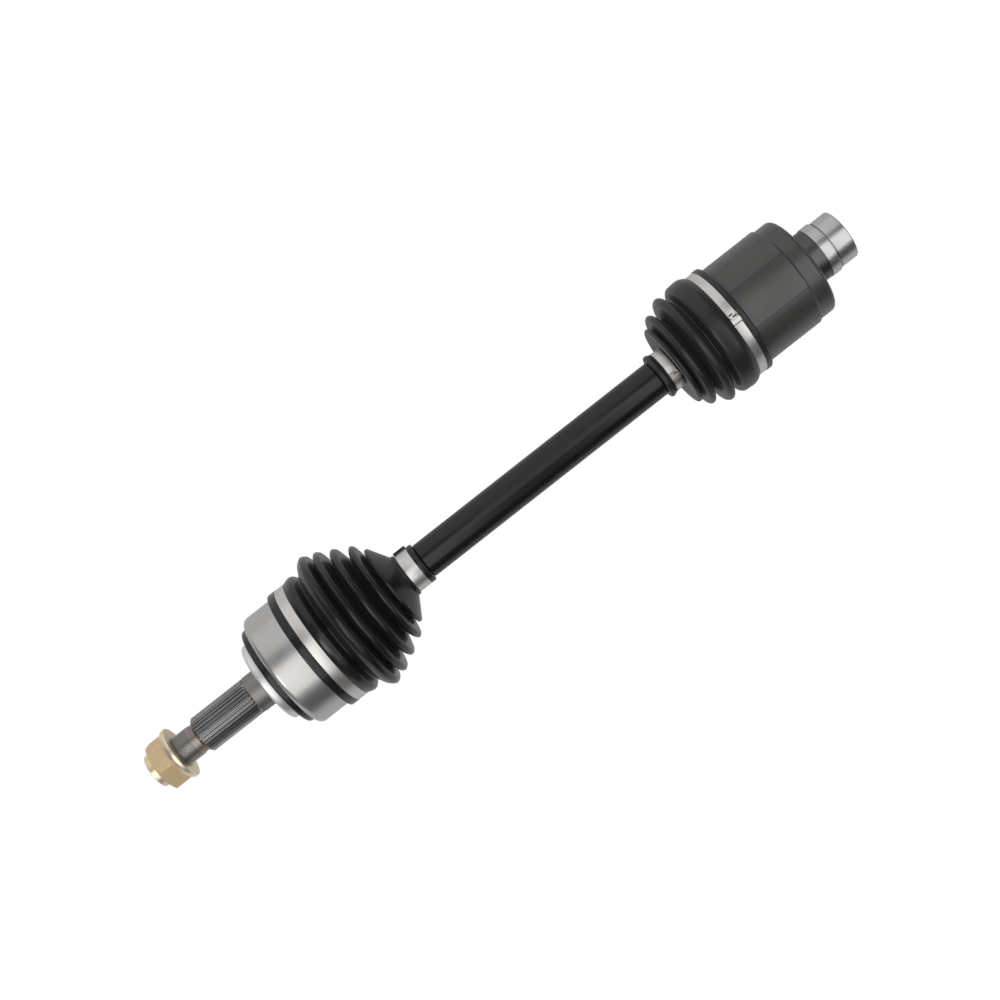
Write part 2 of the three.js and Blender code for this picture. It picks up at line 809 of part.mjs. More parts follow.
// A low buckle, bent along the band: a plate with a raised hook at one end. Its middle is at +Z.
function buckle([from, to, radius], bandWall, { length, plate, hook }) {
  const foot = bandMiddle(radius, bandWall);
  const reach = length / 2 / foot;
  const at = (share, rise) => polar(foot + rise, Math.PI / 2 + share * reach);
  const sole = [1, 0.6, 0.2, -0.2, -0.6, -1].map((share) => at(share, 0));
  const back = [
    at(-1, plate),
    at(-0.5, plate),
    at(0, plate),
    at(0.4, plate),
    at(0.5, hook),
    at(0.8, hook),
    at(1, plate),
  ];
  return solidOf(prism([...back, ...sole], from + BUCKLE_INSET, to - BUCKLE_INSET));
}

// Assembly.

function outboardJoint() {
  const group = new THREE.Group();
  group.position.x = BALL_JOINT_X;
  add(group, "cage", cage(), "hardened");
  add(group, "inner_race", innerRace(), "hardened");
  evenAngles(BALLS.count, BALLS.firstAngle).forEach((angle, i) => {
    const sphere = new THREE.SphereGeometry(BALLS.radius, ...BALL_FACETS);
    const ball = add(group, `ball_${i + 1}`, sphere, "hardened");
    ball.position.set(0, ...polar(BALLS.pitch, angle));
  });
  return group;
}

function tripodJoint() {
  const group = new THREE.Group();
  group.position.x = TRIPOD_X;
  add(group, "spider", spider(), "hardened");
  TRIPOD.angles.forEach((angle, i) => {
    const arm = new THREE.Group();
    arm.rotation.x = angle;
    add(arm, `roller_${i + 1}`, roller(), "hardened");
    add(arm, `needle_row_${i + 1}`, needleRow(), "hardened");
    add(arm, `roller_retainer_${i + 1}`, retainer(), "stainless");
    group.add(arm);
  });
  return group;
}

// A band round its seat, closed by an ear or a buckle.
function clamp(seat, wall, fastener) {
  const [from, to, radius] = seat;
  return band(from, to, radius, wall).add(fastener);
}

function outboardClamps(parent) {
  const { band: seat, smallBand } = OUTBOARD_BOOT;
  const [from, to, radius] = smallBand;
  const smallSeat = [from + GAP, to - GAP, radius];
  const large = clamp(seat, CLAMP_WALL, ear(seat, CLAMP_WALL));
  const small = clamp(smallSeat, SMALL_CLAMP_WALL, ear(smallSeat, SMALL_CLAMP_WALL));
  add(parent, "outboard_large_clamp", large, "stainless").rotation.x = -Math.PI / 2;
  add(parent, "outboard_small_clamp", small, "stainless");
}

function inboardClamps(parent) {
  const { band: seat } = INBOARD_BOOT;
  const large = clamp(seat, CLAMP_WALL, buckle(seat, CLAMP_WALL, LARGE_BUCKLE));
  const smallBuckle = buckle(INBOARD_SMALL_SEAT, SMALL_CLAMP_WALL, SMALL_BUCKLE);
  const small = clamp(INBOARD_SMALL_SEAT, SMALL_CLAMP_WALL, smallBuckle);
  add(parent, "inboard_large_clamp", large, "stainless");
  add(parent, "inboard_small_clamp", small, "stainless");
}

function axle() {
  const root = new THREE.Group();
  add(root, "axle_nut", axleNut(), "zinc").rotation.x = NUT.turn;
  add(root, "outer_race", outerRace(), "ground");
  add(root, "dust_ring", dustRing(), "stainless");
  root.add(outboardJoint());
  add(root, "axle_bar", bar(), "paint");
  add(root, "race_snap_ring", snapRing(RACE_RING_X, RACE_SPLINE.root), "stainless");
  SPIDER_RINGS_X.forEach((x, i) => {
    add(root, `spider_snap_ring_${i + 1}`, snapRing(x, SPIDER_SPLINE.root), "stainless");
  });
  root.add(tripodJoint());
  add(root, "tripod_housing", tripodHousing(), "phosphate");
  add(root, "grease_plug", greasePlug(), "forged");
  add(root, "outboard_boot", outboardBoot(), "elastomer");
  add(root, "inboard_boot", inboardBoot(), "rubber");
  outboardClamps(root);
  inboardClamps(root);
  return root;
}

export default axle();
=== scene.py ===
"""The looks of a front-wheel-drive half-shaft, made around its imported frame.

The axle lies along X, with the wheel end at -X and the gearbox end at +X. Outlines are in
millimetres, as on a workshop drawing: a list of (station, radius) or (station, radius, corner)
points. A station is a place along X, and a corner is how far from the point, along each side, the
outline starts to round it. Angles about the axle are in degrees, from +Y towards +Z.
"""
import json
import math

import bmesh
import bpy
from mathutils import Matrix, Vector


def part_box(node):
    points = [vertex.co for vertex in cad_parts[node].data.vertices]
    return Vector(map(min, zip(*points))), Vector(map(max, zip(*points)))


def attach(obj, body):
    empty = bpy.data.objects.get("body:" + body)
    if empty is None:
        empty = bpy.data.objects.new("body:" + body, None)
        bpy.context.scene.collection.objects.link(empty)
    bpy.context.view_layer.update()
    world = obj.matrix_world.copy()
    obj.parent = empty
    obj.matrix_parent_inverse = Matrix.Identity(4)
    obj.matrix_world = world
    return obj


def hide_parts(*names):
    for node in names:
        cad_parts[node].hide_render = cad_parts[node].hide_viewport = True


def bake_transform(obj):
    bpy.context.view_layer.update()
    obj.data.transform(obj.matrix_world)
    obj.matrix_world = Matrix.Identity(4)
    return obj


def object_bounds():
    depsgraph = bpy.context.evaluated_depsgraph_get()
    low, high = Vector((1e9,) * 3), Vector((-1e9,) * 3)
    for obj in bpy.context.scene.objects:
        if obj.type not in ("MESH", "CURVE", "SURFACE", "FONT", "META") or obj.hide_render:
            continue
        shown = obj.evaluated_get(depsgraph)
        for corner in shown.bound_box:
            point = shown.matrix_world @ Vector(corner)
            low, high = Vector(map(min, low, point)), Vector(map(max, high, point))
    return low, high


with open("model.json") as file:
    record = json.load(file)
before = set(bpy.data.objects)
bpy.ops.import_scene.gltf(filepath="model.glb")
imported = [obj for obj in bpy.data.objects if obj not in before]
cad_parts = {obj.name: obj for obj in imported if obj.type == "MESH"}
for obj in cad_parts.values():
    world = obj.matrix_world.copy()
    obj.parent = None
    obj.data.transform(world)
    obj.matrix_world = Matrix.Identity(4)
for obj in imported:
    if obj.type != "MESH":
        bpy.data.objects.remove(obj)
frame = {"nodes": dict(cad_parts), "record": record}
cad_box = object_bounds()

MM = 0.001
CAD_FACETS = 20


def ends(node):
    """The first and last station of a CAD node."""
    low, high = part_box(node)
    return low.x / MM, high.x / MM


def widest(node):
    """A round CAD node's largest radius: its facets lie flat across the Z axis, just inside it."""
    low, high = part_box(node)
    return max(high.z, -low.z) / MM / math.cos(math.pi / CAD_FACETS)


# Wheel end.
NUT_END, NUT_FACE = ends("axle_nut")
STUB_END, BELL_MOUTH = ends("outer_race")
BELL_RADIUS = widest("outer_race")
THREAD = {"radius": 12.0, "depth": 0.92, "pitch": 1.5, "to": STUB_END + 36.9}
RELIEF_RADIUS = 11.4
STUB_TEETH = {"teeth": 30, "tip": 14.65, "root": 13.45, "from": STUB_END + 42.9, "to": STUB_END + 88.6}
BOSS_RADIUS = 15.0
SHOULDER_X = BELL_MOUTH - 56.2
SHOULDER_RADIUS = 22.0
STEP_X = BELL_MOUTH - 48.2
STEP_RADIUS = 41.3
BELL_X = BELL_MOUTH - 43.0
RING_FROM, RING_TO = ends("dust_ring")
RING_RADIUS = widest("dust_ring")

# Ball joint inside the bell.
BALL_JOINT_X = BELL_MOUTH - 19.0
TRACK = {"pitch": 30.02, "radius": 10.3, "offset": 1.2}
CAGE_SEAT = 35.0
BELL_BOTTOM = BALL_JOINT_X - 27.2

# Bar.
BAR_FROM, BAR_TO = ends("axle_bar")
BAR_RADIUS = 14.0
BOOT_SEAT_RADIUS = 13.0
RACE_TEETH = {"teeth": 16, "tip": 13.2, "root": 12.2}
SPIDER_TEETH = {"teeth": 16, "tip": 12.4, "root": 11.4}

# Tripod joint and its housing.
HOUSING_MOUTH, SLEEVE_END = ends("tripod_housing")
HOUSING_RADIUS = widest("tripod_housing")
NECK_RADIUS = 20.5
SLEEVE_RADIUS = 19.9
SOCKET_TEETH = {"teeth": 28, "tip": 12.9, "root": 14.0}
TRACK_ANGLES = (30, 150, 270)
TULIP = {"bottom": HOUSING_MOUTH + 62.5, "well": 26.4, "pitch": 26.0, "bore": 16.2, "top": 35.8}

# Boots and their clamps.
OUT_BOOT_FROM, OUT_BOOT_TO = ends("outboard_boot")
IN_BOOT_FROM, IN_BOOT_TO = ends("inboard_boot")
OUTBOARD_WALL = 2.4
INBOARD_WALL = 2.6
OUT_LARGE = (*ends("outboard_large_clamp"), 50.3)
OUT_SMALL = (*ends("outboard_small_clamp"), 16.1)
IN_LARGE_FROM, _ = ends("inboard_large_clamp")
IN_LARGE = (IN_LARGE_FROM - 1.0, IN_LARGE_FROM + 5.9, 44.6)
IN_SMALL_FROM, IN_SMALL_TO = ends("inboard_small_clamp")
IN_SMALL = (IN_SMALL_FROM - 1.1, IN_SMALL_TO - 0.5, 16.7)
IN_VALLEY_X = IN_SMALL[1] + 27.4
IN_VALLEY_RADIUS = 38.4

ROUND = 144
CORNER_CUTS = 5
SMOOTH_BELOW = math.radians(20)


# Hand work.

def deselect():
    bpy.ops.object.select_all(action="DESELECT")


def take(piece):
    """Picks up one piece, and puts down whatever else was in hand."""
    deselect()
    piece.select_set(True)
    bpy.context.view_layer.objects.active = piece
    return piece


def edit(piece):
    take(piece)
    bpy.ops.object.mode_set(mode="EDIT")


def put_down():
    bpy.ops.object.mode_set(mode="OBJECT")
    return bpy.context.object


def pick(kind, test):
    """In edit mode, selects the vertices, edges or faces that pass the test."""
    bpy.ops.mesh.select_mode(type=kind)
    bpy.ops.mesh.select_all(action="DESELECT")
    shape = bmesh.from_edit_mesh(bpy.context.object.data)
    for part in {"VERT": shape.verts, "EDGE": shape.edges, "FACE": shape.faces}[kind]:
        if test(part):
            part.select_set(True)
    shape.select_flush_mode()
    bmesh.update_edit_mesh(bpy.context.object.data)


def station(vertex):
    return vertex.co.x / MM


def reach(vertex):
    """A vertex's distance from the axle's line."""
    return math.hypot(vertex.co.y, vertex.co.z) / MM


def draw(points):
    """Draws a line through points by drawing out one vertex, and leaves it in edit mode."""
    deselect()
    bpy.ops.mesh.primitive_plane_add(size=MM, location=points[0])
    bpy.ops.object.mode_set(mode="EDIT")
    bpy.ops.mesh.select_mode(type="VERT")
    bpy.ops.mesh.select_all(action="SELECT")
    bpy.ops.mesh.merge(type="CENTER")
    for here, there in zip(points, points[1:]):
        bpy.ops.mesh.extrude_region_move(TRANSFORM_OT_translate={"value": there - here})


def close_line(first, last):
    pick("VERT", lambda v: min((v.co - first).length, (v.co - last).length) < MM / 1000)
    bpy.ops.mesh.edge_face_add()


def round_corners(points, corners):
    for size in sorted(set(corners) - {0}):
        wanted = [p for p, corner in zip(points, corners) if corner == size]
        pick("VERT", lambda v: any((v.co - p).length < MM / 1000 for p in wanted))
        bpy.ops.mesh.bevel(offset=size * MM, segments=CORNER_CUTS, affect="VERTICES")


def settle(name):
    """Names the piece in hand and moves its place into its mesh."""
    piece = bpy.context.object
    piece.name = piece.data.name = name
    bpy.ops.object.transform_apply(location=True, rotation=True, scale=True)
    return piece


def at_origin():
    """In edit mode with the object still where it was drawn: brings its origin to the axle's line."""
    bpy.ops.object.mode_set(mode="OBJECT")
    bpy.ops.object.transform_apply(location=True, rotation=True, scale=True)
    bpy.ops.object.mode_set(mode="EDIT")


def turned(name, outline, steps=ROUND):
    """A piece turned about the axle's line. The outline runs out and back, or from axis to axis."""
    rows = [(*row, 0)[:3] for row in outline]
    points = [Vector((x, 0, r)) * MM for x, r, _ in rows]
    draw(points)
    at_origin()
    if rows[0][1] > 0:
        close_line(points[0], points[-1])
    round_corners(points, [corner for _, _, corner in rows])
    bpy.ops.mesh.select_all(action="SELECT")
    bpy.ops.mesh.spin(steps=steps, angle=math.tau, center=(0, 0, 0), axis=(1, 0, 0))
    bpy.ops.mesh.select_all(action="SELECT")
    bpy.ops.mesh.remove_doubles(threshold=MM / 1000)
    bpy.ops.mesh.normals_make_consistent(inside=False)
    put_down()
    return smooth(settle(name))


def smooth(piece, below=SMOOTH_BELOW):
    take(piece)
    bpy.ops.object.shade_smooth_by_angle(angle=below)
    return piece


def pressed(name, outline, start, end, edge=0.15):
    """A piece cut to an outline of (y, z) points, as thick along X as it is from start to end."""
    draw([Vector((start, y, z)) * MM for y, z in outline])
    bpy.ops.mesh.select_all(action="SELECT")
    bpy.ops.mesh.edge_face_add()
    bpy.ops.mesh.extrude_region_move(TRANSFORM_OT_translate={"value": (MM * (end - start), 0, 0)})
    bpy.ops.mesh.select_all(action="SELECT")
    bpy.ops.mesh.normals_make_consistent(inside=False)
    put_down()
    piece = settle(name)
    soften(piece, edge)
    return smooth(piece)


def soften(piece, width, segments=2, sharper_than=40):
    """Breaks the sharp edges."""
    bevel = piece.modifiers.new("broken edges", "BEVEL")
    bevel.width = width * MM
    bevel.segments = segments
    bevel.limit_method = "ANGLE"
    bevel.angle_limit = math.radians(sharper_than)
    apply(piece)


def apply(piece):
    take(piece)
    for modifier in list(piece.modifiers):
        bpy.ops.object.modifier_apply(modifier=modifier.name)


def combine(piece, tool, operation):
    """Cuts the tool out of the piece, joins it on, or keeps what they share. The tool is used up."""
    boolean = piece.modifiers.new("tool", "BOOLEAN")
    boolean.object = tool
    boolean.operation = operation
    boolean.solver = "EXACT"
    apply(piece)
    bpy.data.objects.remove(tool)
    return smooth(piece)


def roll(piece, degrees):
    """Turns a piece about the axle's line."""
    take(piece)
    piece.rotation_euler.x = math.radians(degrees)
    bpy.ops.object.transform_apply(rotation=True)
    return piece


def cut_teeth(piece, teeth, tip, root, start, end):
    """Sinks the grooves between the teeth of a ring whose facets come in sixes or eights per tooth."""
    pitch = math.tau / teeth
    gap = 0.25

    def in_groove(vertex):
        angle = math.atan2(vertex.co.z, vertex.co.y) - math.pi / 2
        share = (angle / pitch) % 1
        on_ring = abs(reach(vertex) - tip) < 0.05 and start - 0.05 < station(vertex) < end + 0.05
        return on_ring and gap < share < 1 - gap

    edit(piece)
    pick("VERT", in_groove)
    depth = root / tip
    bpy.ops.transform.resize(value=(1, depth, depth), center_override=(0, 0, 0))
    put_down()
    return smooth(piece)


def arc(centre_x, radius, start, end, cuts):
    """Points of a circle centred on the axle's line, between two stations."""
    first, last = (math.acos((x - centre_x) / radius) for x in (start, end))
    angles = [first + (last - first) * i / cuts for i in range(cuts + 1)]
    return [(centre_x + radius * math.cos(a), radius * math.sin(a)) for a in angles]


def inner_skin(points, wall):
    """The way back along the inside of a moulded wall."""
    return [(x, radius - wall, corner) for x, radius, corner in reversed(points)]


def polar(radius, degrees):
    return radius * math.cos(math.radians(degrees)), radius * math.sin(math.radians(degrees))


# Wheel end.

def stub_thread():
    """The rolled thread: one ridge wound along the stub, faced off at both ends and chamfered."""
    pitch, crest = THREAD["pitch"], THREAD["radius"]
    root = crest - THREAD["depth"]
    start = STUB_END - pitch
    turns = math.ceil((THREAD["to"] - start) / pitch) + 1
    ridge = [(0, root), (0.25, root), (0.56, crest), (0.69, crest), (1, root)]
    draw([Vector((start + share * pitch, 0, r)) * MM for share, r in ridge])
    put_down()
    thread = settle("stub_thread")
    winding = thread.modifiers.new("winding", "SCREW")
    winding.axis = "X"
    winding.screw_offset = pitch * MM
    winding.iterations = turns
    winding.steps = winding.render_steps = 60
    apply(thread)
    edit(thread)
    bpy.ops.mesh.select_all(action="SELECT")
    bpy.ops.mesh.remove_doubles(threshold=MM / 1000)
    for x, outwards in ((STUB_END, -1), (THREAD["to"], 1)):
        bpy.ops.mesh.select_all(action="SELECT")
        bpy.ops.mesh.bisect(
            plane_co=(x * MM, 0, 0), plane_no=(outwards, 0, 0), use_fill=True, clear_outer=True
        )
    bpy.ops.mesh.select_all(action="SELECT")
    bpy.ops.mesh.normals_make_consistent(inside=False)
    put_down()
    lead = turned("lead", [
        (STUB_END - 1, 0),
        (STUB_END - 1, crest - 2.4),
        (STUB_END + 1.5, crest + 0.1),
        (THREAD["to"] - 0.6, crest + 0.1),
        (THREAD["to"] + 0.6, crest - 1.1),
        (THREAD["to"] + 0.6, 0),
    ])
    return combine(thread, lead, "INTERSECT")


def forging_outline():
    """The outside of the outer race from the thread to the bell's mouth."""
    teeth_from, teeth_to = STUB_TEETH["from"], STUB_TEETH["to"]
    tip, root = STUB_TEETH["tip"], STUB_TEETH["root"]
    seat_from, seat_to, _ = OUT_LARGE
    return [
        (THREAD["to"] - 1.5, 0),
        (THREAD["to"] - 1.5, RELIEF_RADIUS),
        (teeth_from - 2.4, RELIEF_RADIUS, 0.6),
        (teeth_from - 1.4, root - 0.4),
        (teeth_from, tip),
        (teeth_to, tip),
        (teeth_to + 1.5, tip),
        (teeth_to + 1.9, BOSS_RADIUS),
        (SHOULDER_X, BOSS_RADIUS, 1.0),
        (SHOULDER_X, SHOULDER_RADIUS, 0.6),
        (STEP_X, SHOULDER_RADIUS, 0.4),
        (STEP_X, STEP_RADIUS, 1.6),
        (BELL_X, STEP_RADIUS, 0.3),
        (BELL_X, BELL_RADIUS, 4.6),
        (seat_from - 0.3, BELL_RADIUS, 0.2),
        (seat_from + 0.2, BELL_RADIUS - 0.9, 0.2),
        (seat_to - 0.2, BELL_RADIUS - 0.9, 0.2),
        (seat_to + 0.3, BELL_RADIUS, 0.2),
        (BELL_MOUTH, BELL_RADIUS, 0.7),
    ]


def bell_hollow():
    """The inside of the bell, from the mouth's cone over the cage's seat to the bottom."""
    cone_from = BALL_JOINT_X + 12
    seat = arc(BALL_JOINT_X, CAGE_SEAT, cone_from, BELL_BOTTOM, 14)
    return [(BELL_MOUTH, 40.4, 0.8), *seat, (BELL_BOTTOM, 0)]


def ball_track(degrees):
    """A ring-shaped cutter that mills two opposite ball tracks and stops short of the bell's back."""
    deselect()
    bpy.ops.mesh.primitive_torus_add(
        major_segments=96,
        minor_segments=32,
        major_radius=TRACK["pitch"] * MM,
        minor_radius=TRACK["radius"] * MM,
        location=((BALL_JOINT_X + TRACK["offset"]) * MM, 0, 0),
        rotation=(math.radians(degrees), 0, 0),
    )
    cutter = settle("ball_track")
    edit(cutter)
    bpy.ops.mesh.select_all(action="SELECT")
    bpy.ops.mesh.bisect(
        plane_co=(BELL_BOTTOM * MM, 0, 0), plane_no=(-1, 0, 0), use_fill=True, clear_outer=True
    )
    return put_down()


def centre_hole():
    """The lathe's centre in the end of the stub."""
    return turned("centre_hole", [
        (STUB_END - 0.5, 0),
        (STUB_END - 0.5, 4.2),
        (STUB_END + 2.6, 1.4),
        (STUB_END + 5.5, 1.4),
        (STUB_END + 6.2, 0),
    ], steps=48)


def outer_race():
    """The bell and its splined stub: one forging, turned, milled, splined, threaded and ground."""
    race = turned("outer_race_forging", [*forging_outline(), *bell_hollow()], steps=180)
    cut_teeth(race, **{k: STUB_TEETH[k] for k in ("teeth", "tip", "root")},
              start=STUB_TEETH["from"], end=STUB_TEETH["to"])
    for degrees in (90, 150, 210):
        combine(race, ball_track(degrees), "DIFFERENCE")
    combine(race, stub_thread(), "UNION")
    combine(race, centre_hole(), "DIFFERENCE")
    return race


def dust_ring():
    """A pressed cup with a rolled lip, round the shoulder."""
    wall = 1.2
    return turned("dust_ring_pressing", [
        (RING_FROM, SHOULDER_RADIUS + 0.2),
        (RING_FROM, RING_RADIUS, 1.9),
        (RING_TO - 1.5, RING_RADIUS),
        (RING_TO - 1.3, RING_RADIUS - 0.3),
        (RING_TO - 1.1, RING_RADIUS),
        (RING_TO, RING_RADIUS, 0.4),
        (RING_TO, RING_RADIUS - wall, 0.4),
        (RING_FROM + wall, RING_RADIUS - wall, 0.9),
        (RING_FROM + wall, SHOULDER_RADIUS + 0.2),
    ])


# Axle nut.
NUT = {"flats": 36.0, "roll": 7.6, "collar": 13.45, "collar_to": NUT_END + 5.1,
       "hex_to": NUT_FACE - 5.5, "flange": 21.0, "bore": 12.3}


def nut_hexagon():
    """Six flats with broken edges, and corners chamfered by a cone at the outer face."""
    corner = NUT["flats"] / math.sqrt(3)
    start, end = NUT["collar_to"], NUT["hex_to"] + 0.6
    block = turned("hexagon", [(start, 0), (start, corner), (end, corner), (end, 0)], steps=6)
    edit(block)
    pick("EDGE", lambda e: abs(e.verts[0].co.x - e.verts[1].co.x) > MM and reach(e.verts[0]) > 1)
    bpy.ops.mesh.bevel(offset=0.45 * MM, segments=3, affect="EDGES")
    put_down()
    roll(block, NUT["roll"])
    cone = turned("cone", [
        (start, 0),
        (start, NUT["flats"] / 2 - 0.7, 0.3),
        (start + 2.1, corner + 0.15),
        (end, corner + 0.15),
        (end, 0),
    ])
    return combine(block, cone, "INTERSECT")


def axle_nut():
    """A flanged hexagon nut with a thin collar, which is staked into the stub after fitting."""
    nut = turned("axle_nut_forging", [
        (NUT_END, 0),
        (NUT_END, NUT["collar"], 0.5),
        (NUT["hex_to"], NUT["collar"]),
        (NUT["hex_to"], NUT["flange"] - 1.8, 0.3),
        (NUT_FACE - 2.6, NUT["flange"], 0.5),
        (NUT_FACE, NUT["flange"], 0.4),
        (NUT_FACE, 0),
    ])
    combine(nut, nut_hexagon(), "UNION")
    bore = turned("bore", [
        (NUT_END - 1, 0),
        (NUT_END - 1, NUT["bore"] + 1.3),
        (NUT_END + 0.3, NUT["bore"]),
        (NUT_FACE - 1.2, NUT["bore"]),
        (NUT_FACE + 0.6, NUT["bore"] + 1.8),
        (NUT_FACE + 0.6, 0),
    ])
    return combine(nut, bore, "DIFFERENCE")


# Bar.

def ring_groove(x, radius):
    return [(x - 0.2, radius), (x - 0.2, radius - 1.4), (x + 1.3, radius - 1.4), (x + 1.3, radius)]


def boot_seat(start, end):
    return [
        (start - 0.6, BAR_RADIUS, 0.3),
        (start, BOOT_SEAT_RADIUS, 0.3),
        (end, BOOT_SEAT_RADIUS, 0.3),
        (end + 0.6, BAR_RADIUS, 0.3),
    ]


def axle_bar():
    """The bar, splined at both ends, with a groove for each snap ring and a seat for each boot."""
    race_ring, _ = ends("race_snap_ring")
    near_ring, _ = ends("spider_snap_ring_1")
    far_ring, _ = ends("spider_snap_ring_2")
    race_face = ends("inner_race")[1] + 0.6
    race_tip, spider_tip = RACE_TEETH["tip"], SPIDER_TEETH["tip"]
    bar = turned("solid_bar", [
        (BAR_FROM, 0),
        (BAR_FROM, RACE_TEETH["root"], 0.9),
        *ring_groove(race_ring, RACE_TEETH["root"]),
        (race_ring + 1.3, race_tip),
        (race_face - 0.4, race_tip),
        (race_face, race_tip),
        (race_face, BAR_RADIUS, 0.4),
        *boot_seat(OUT_SMALL[0] - 0.3, OUT_BOOT_TO + 0.3),
        *boot_seat(IN_BOOT_FROM - 0.4, IN_BOOT_FROM + 15.2),
        (IN_BOOT_FROM + 18, 12.6, 1.5),
        (near_ring - 3.2, 12.6, 1.0),
        (near_ring - 2.2, SPIDER_TEETH["root"]),
        *ring_groove(near_ring, SPIDER_TEETH["root"]),
        (near_ring + 1.3, spider_tip),
        (far_ring - 0.2, spider_tip),
        *ring_groove(far_ring, SPIDER_TEETH["root"]),
        (BAR_TO, SPIDER_TEETH["root"], 0.9),
        (BAR_TO, 0),
    ], steps=128)
    cut_teeth(bar, **RACE_TEETH, start=race_ring + 1.3, end=race_face - 0.4)
    cut_teeth(bar, **SPIDER_TEETH, start=near_ring + 1.3, end=far_ring - 0.2)
    return bar


# Tripod housing.

def housing_outline():
    """The outside, from the mouth to the sleeve's end."""
    seat_from, seat_to, _ = IN_LARGE
    step_from, back = HOUSING_MOUTH + 60.2, HOUSING_MOUTH + 75.4
    collar, sleeve = HOUSING_MOUTH + 88.3, HOUSING_MOUTH + 96.2
    return [
        (HOUSING_MOUTH, HOUSING_RADIUS, 0.8),
        (seat_from + 1.0, HOUSING_RADIUS, 0.2),
        (seat_from + 1.5, HOUSING_RADIUS - 0.8, 0.2),
        (seat_to - 1.1, HOUSING_RADIUS - 0.8, 0.2),
        (seat_to - 0.6, HOUSING_RADIUS, 0.2),
        (step_from, HOUSING_RADIUS, 0.3),
        (step_from + 1.3, HOUSING_RADIUS - 1.4, 0.4),
        (back, HOUSING_RADIUS - 1.4, 3.2),
        (back, NECK_RADIUS, 3.0),
        (collar, NECK_RADIUS),
        (collar, SLEEVE_RADIUS + 1.1, 0.3),
        (sleeve, SLEEVE_RADIUS + 1.1, 0.2),
        (sleeve, SLEEVE_RADIUS - 1.6),
        (sleeve + 1.4, SLEEVE_RADIUS - 1.6),
        (sleeve + 1.6, SLEEVE_RADIUS, 0.15),
        (SLEEVE_END, SLEEVE_RADIUS, 0.8),
    ]


def housing_hollow():
    """The inside: the splined socket with its lead, the plug's seat, and the spider's well."""
    groove = SOCKET_TEETH["root"]
    plug_seat, _ = ends("grease_plug")
    socket_from = plug_seat + 5.1
    return [
        (SLEEVE_END, groove + 1.9, 0.2),
        (SLEEVE_END - 1.8, groove + 0.1),
        (SLEEVE_END - 1.9, groove),
        (socket_from + 0.5, groove),
        (socket_from, groove),
        (socket_from, 14.9),
        (TULIP["bottom"], 14.9),
        (TULIP["bottom"], TULIP["well"], 2.0),
        (HOUSING_MOUTH + 3, TULIP["well"]),
        (HOUSING_MOUTH, TULIP["well"] + 3),
    ]


def roller_track(degrees):
    """A cutter for one roller track: a bore whose outer side is milled flat."""
    deselect()
    length = TULIP["bottom"] - HOUSING_MOUTH + 1
    bpy.ops.mesh.primitive_cylinder_add(
        vertices=96,
        radius=TULIP["bore"] * MM,
        depth=length * MM,
        location=((TULIP["bottom"] - length / 2) * MM, TULIP["pitch"] * MM, 0),
        rotation=(0, math.pi / 2, 0),
    )
    cutter = settle("roller_track")
    edit(cutter)
    bpy.ops.mesh.select_all(action="SELECT")
    bpy.ops.mesh.bisect(
        plane_co=(0, TULIP["top"] * MM, 0), plane_no=(0, 1, 0), use_fill=True, clear_outer=True
    )
    put_down()
    return roll(cutter, degrees)


def recess_cutter(degrees):
    """A tool for the shallow, flatter face between two tracks: a block with a wide curve under it."""
    start, end, half_angle, curve = HOUSING_MOUTH + 12, HOUSING_MOUTH + 60.7, 22, 62
    edge_y, edge_z = polar(HOUSING_RADIUS, half_angle)
    middle = edge_y - math.sqrt(curve ** 2 - edge_z ** 2)
    deselect()
    bpy.ops.mesh.primitive_cube_add(size=MM, location=((start + end) / 2 * MM, edge_y * MM, 0))
    bpy.context.object.scale = (end - start, 12, 2 * edge_z)
    block = settle("recess_cutter")
    deselect()
    bpy.ops.mesh.primitive_cylinder_add(
        vertices=360, radius=curve * MM, depth=0.1, location=((start + end) / 2 * MM, middle * MM, 0),
        rotation=(0, math.pi / 2, 0),
    )
    combine(block, settle("wide_curve"), "DIFFERENCE")
    for z in (-edge_z, edge_z):
        deselect()
        bpy.ops.mesh.primitive_cylinder_add(
            vertices=12, radius=0.32 * MM, depth=(end - start) * MM,
            location=((start + end) / 2 * MM, edge_y * MM, z * MM), rotation=(0, math.pi / 2, 0),
        )
        combine(block, settle("tool_mark"), "UNION")
    return roll(block, degrees)


def tripod_housing():
    housing = turned("tulip_housing", [*housing_outline(), *housing_hollow()], steps=168)
    cut_teeth(housing, 28, SOCKET_TEETH["root"], SOCKET_TEETH["tip"],
              ends("grease_plug")[0] + 5.6, SLEEVE_END - 1.9)
    for degrees in TRACK_ANGLES:
        combine(housing, roller_track(degrees), "DIFFERENCE")
    for degrees in TRACK_ANGLES:
        combine(housing, recess_cutter(degrees + 180), "DIFFERENCE")
    return housing


# Boots.

def fold(crest_x, crest, back, front, valley):
    """One fold of the outboard boot: a full back and front, a fine edge, and a deep valley."""
    valley_x, valley_radius = valley
    return [
        (crest_x - back, crest - 1.6, back * 0.7),
        (crest_x - 0.2, crest + 0.6, 1.6),
        (crest_x + front, crest - 1.7, 0.5),
        (valley_x, valley_radius, 0.7),
    ]


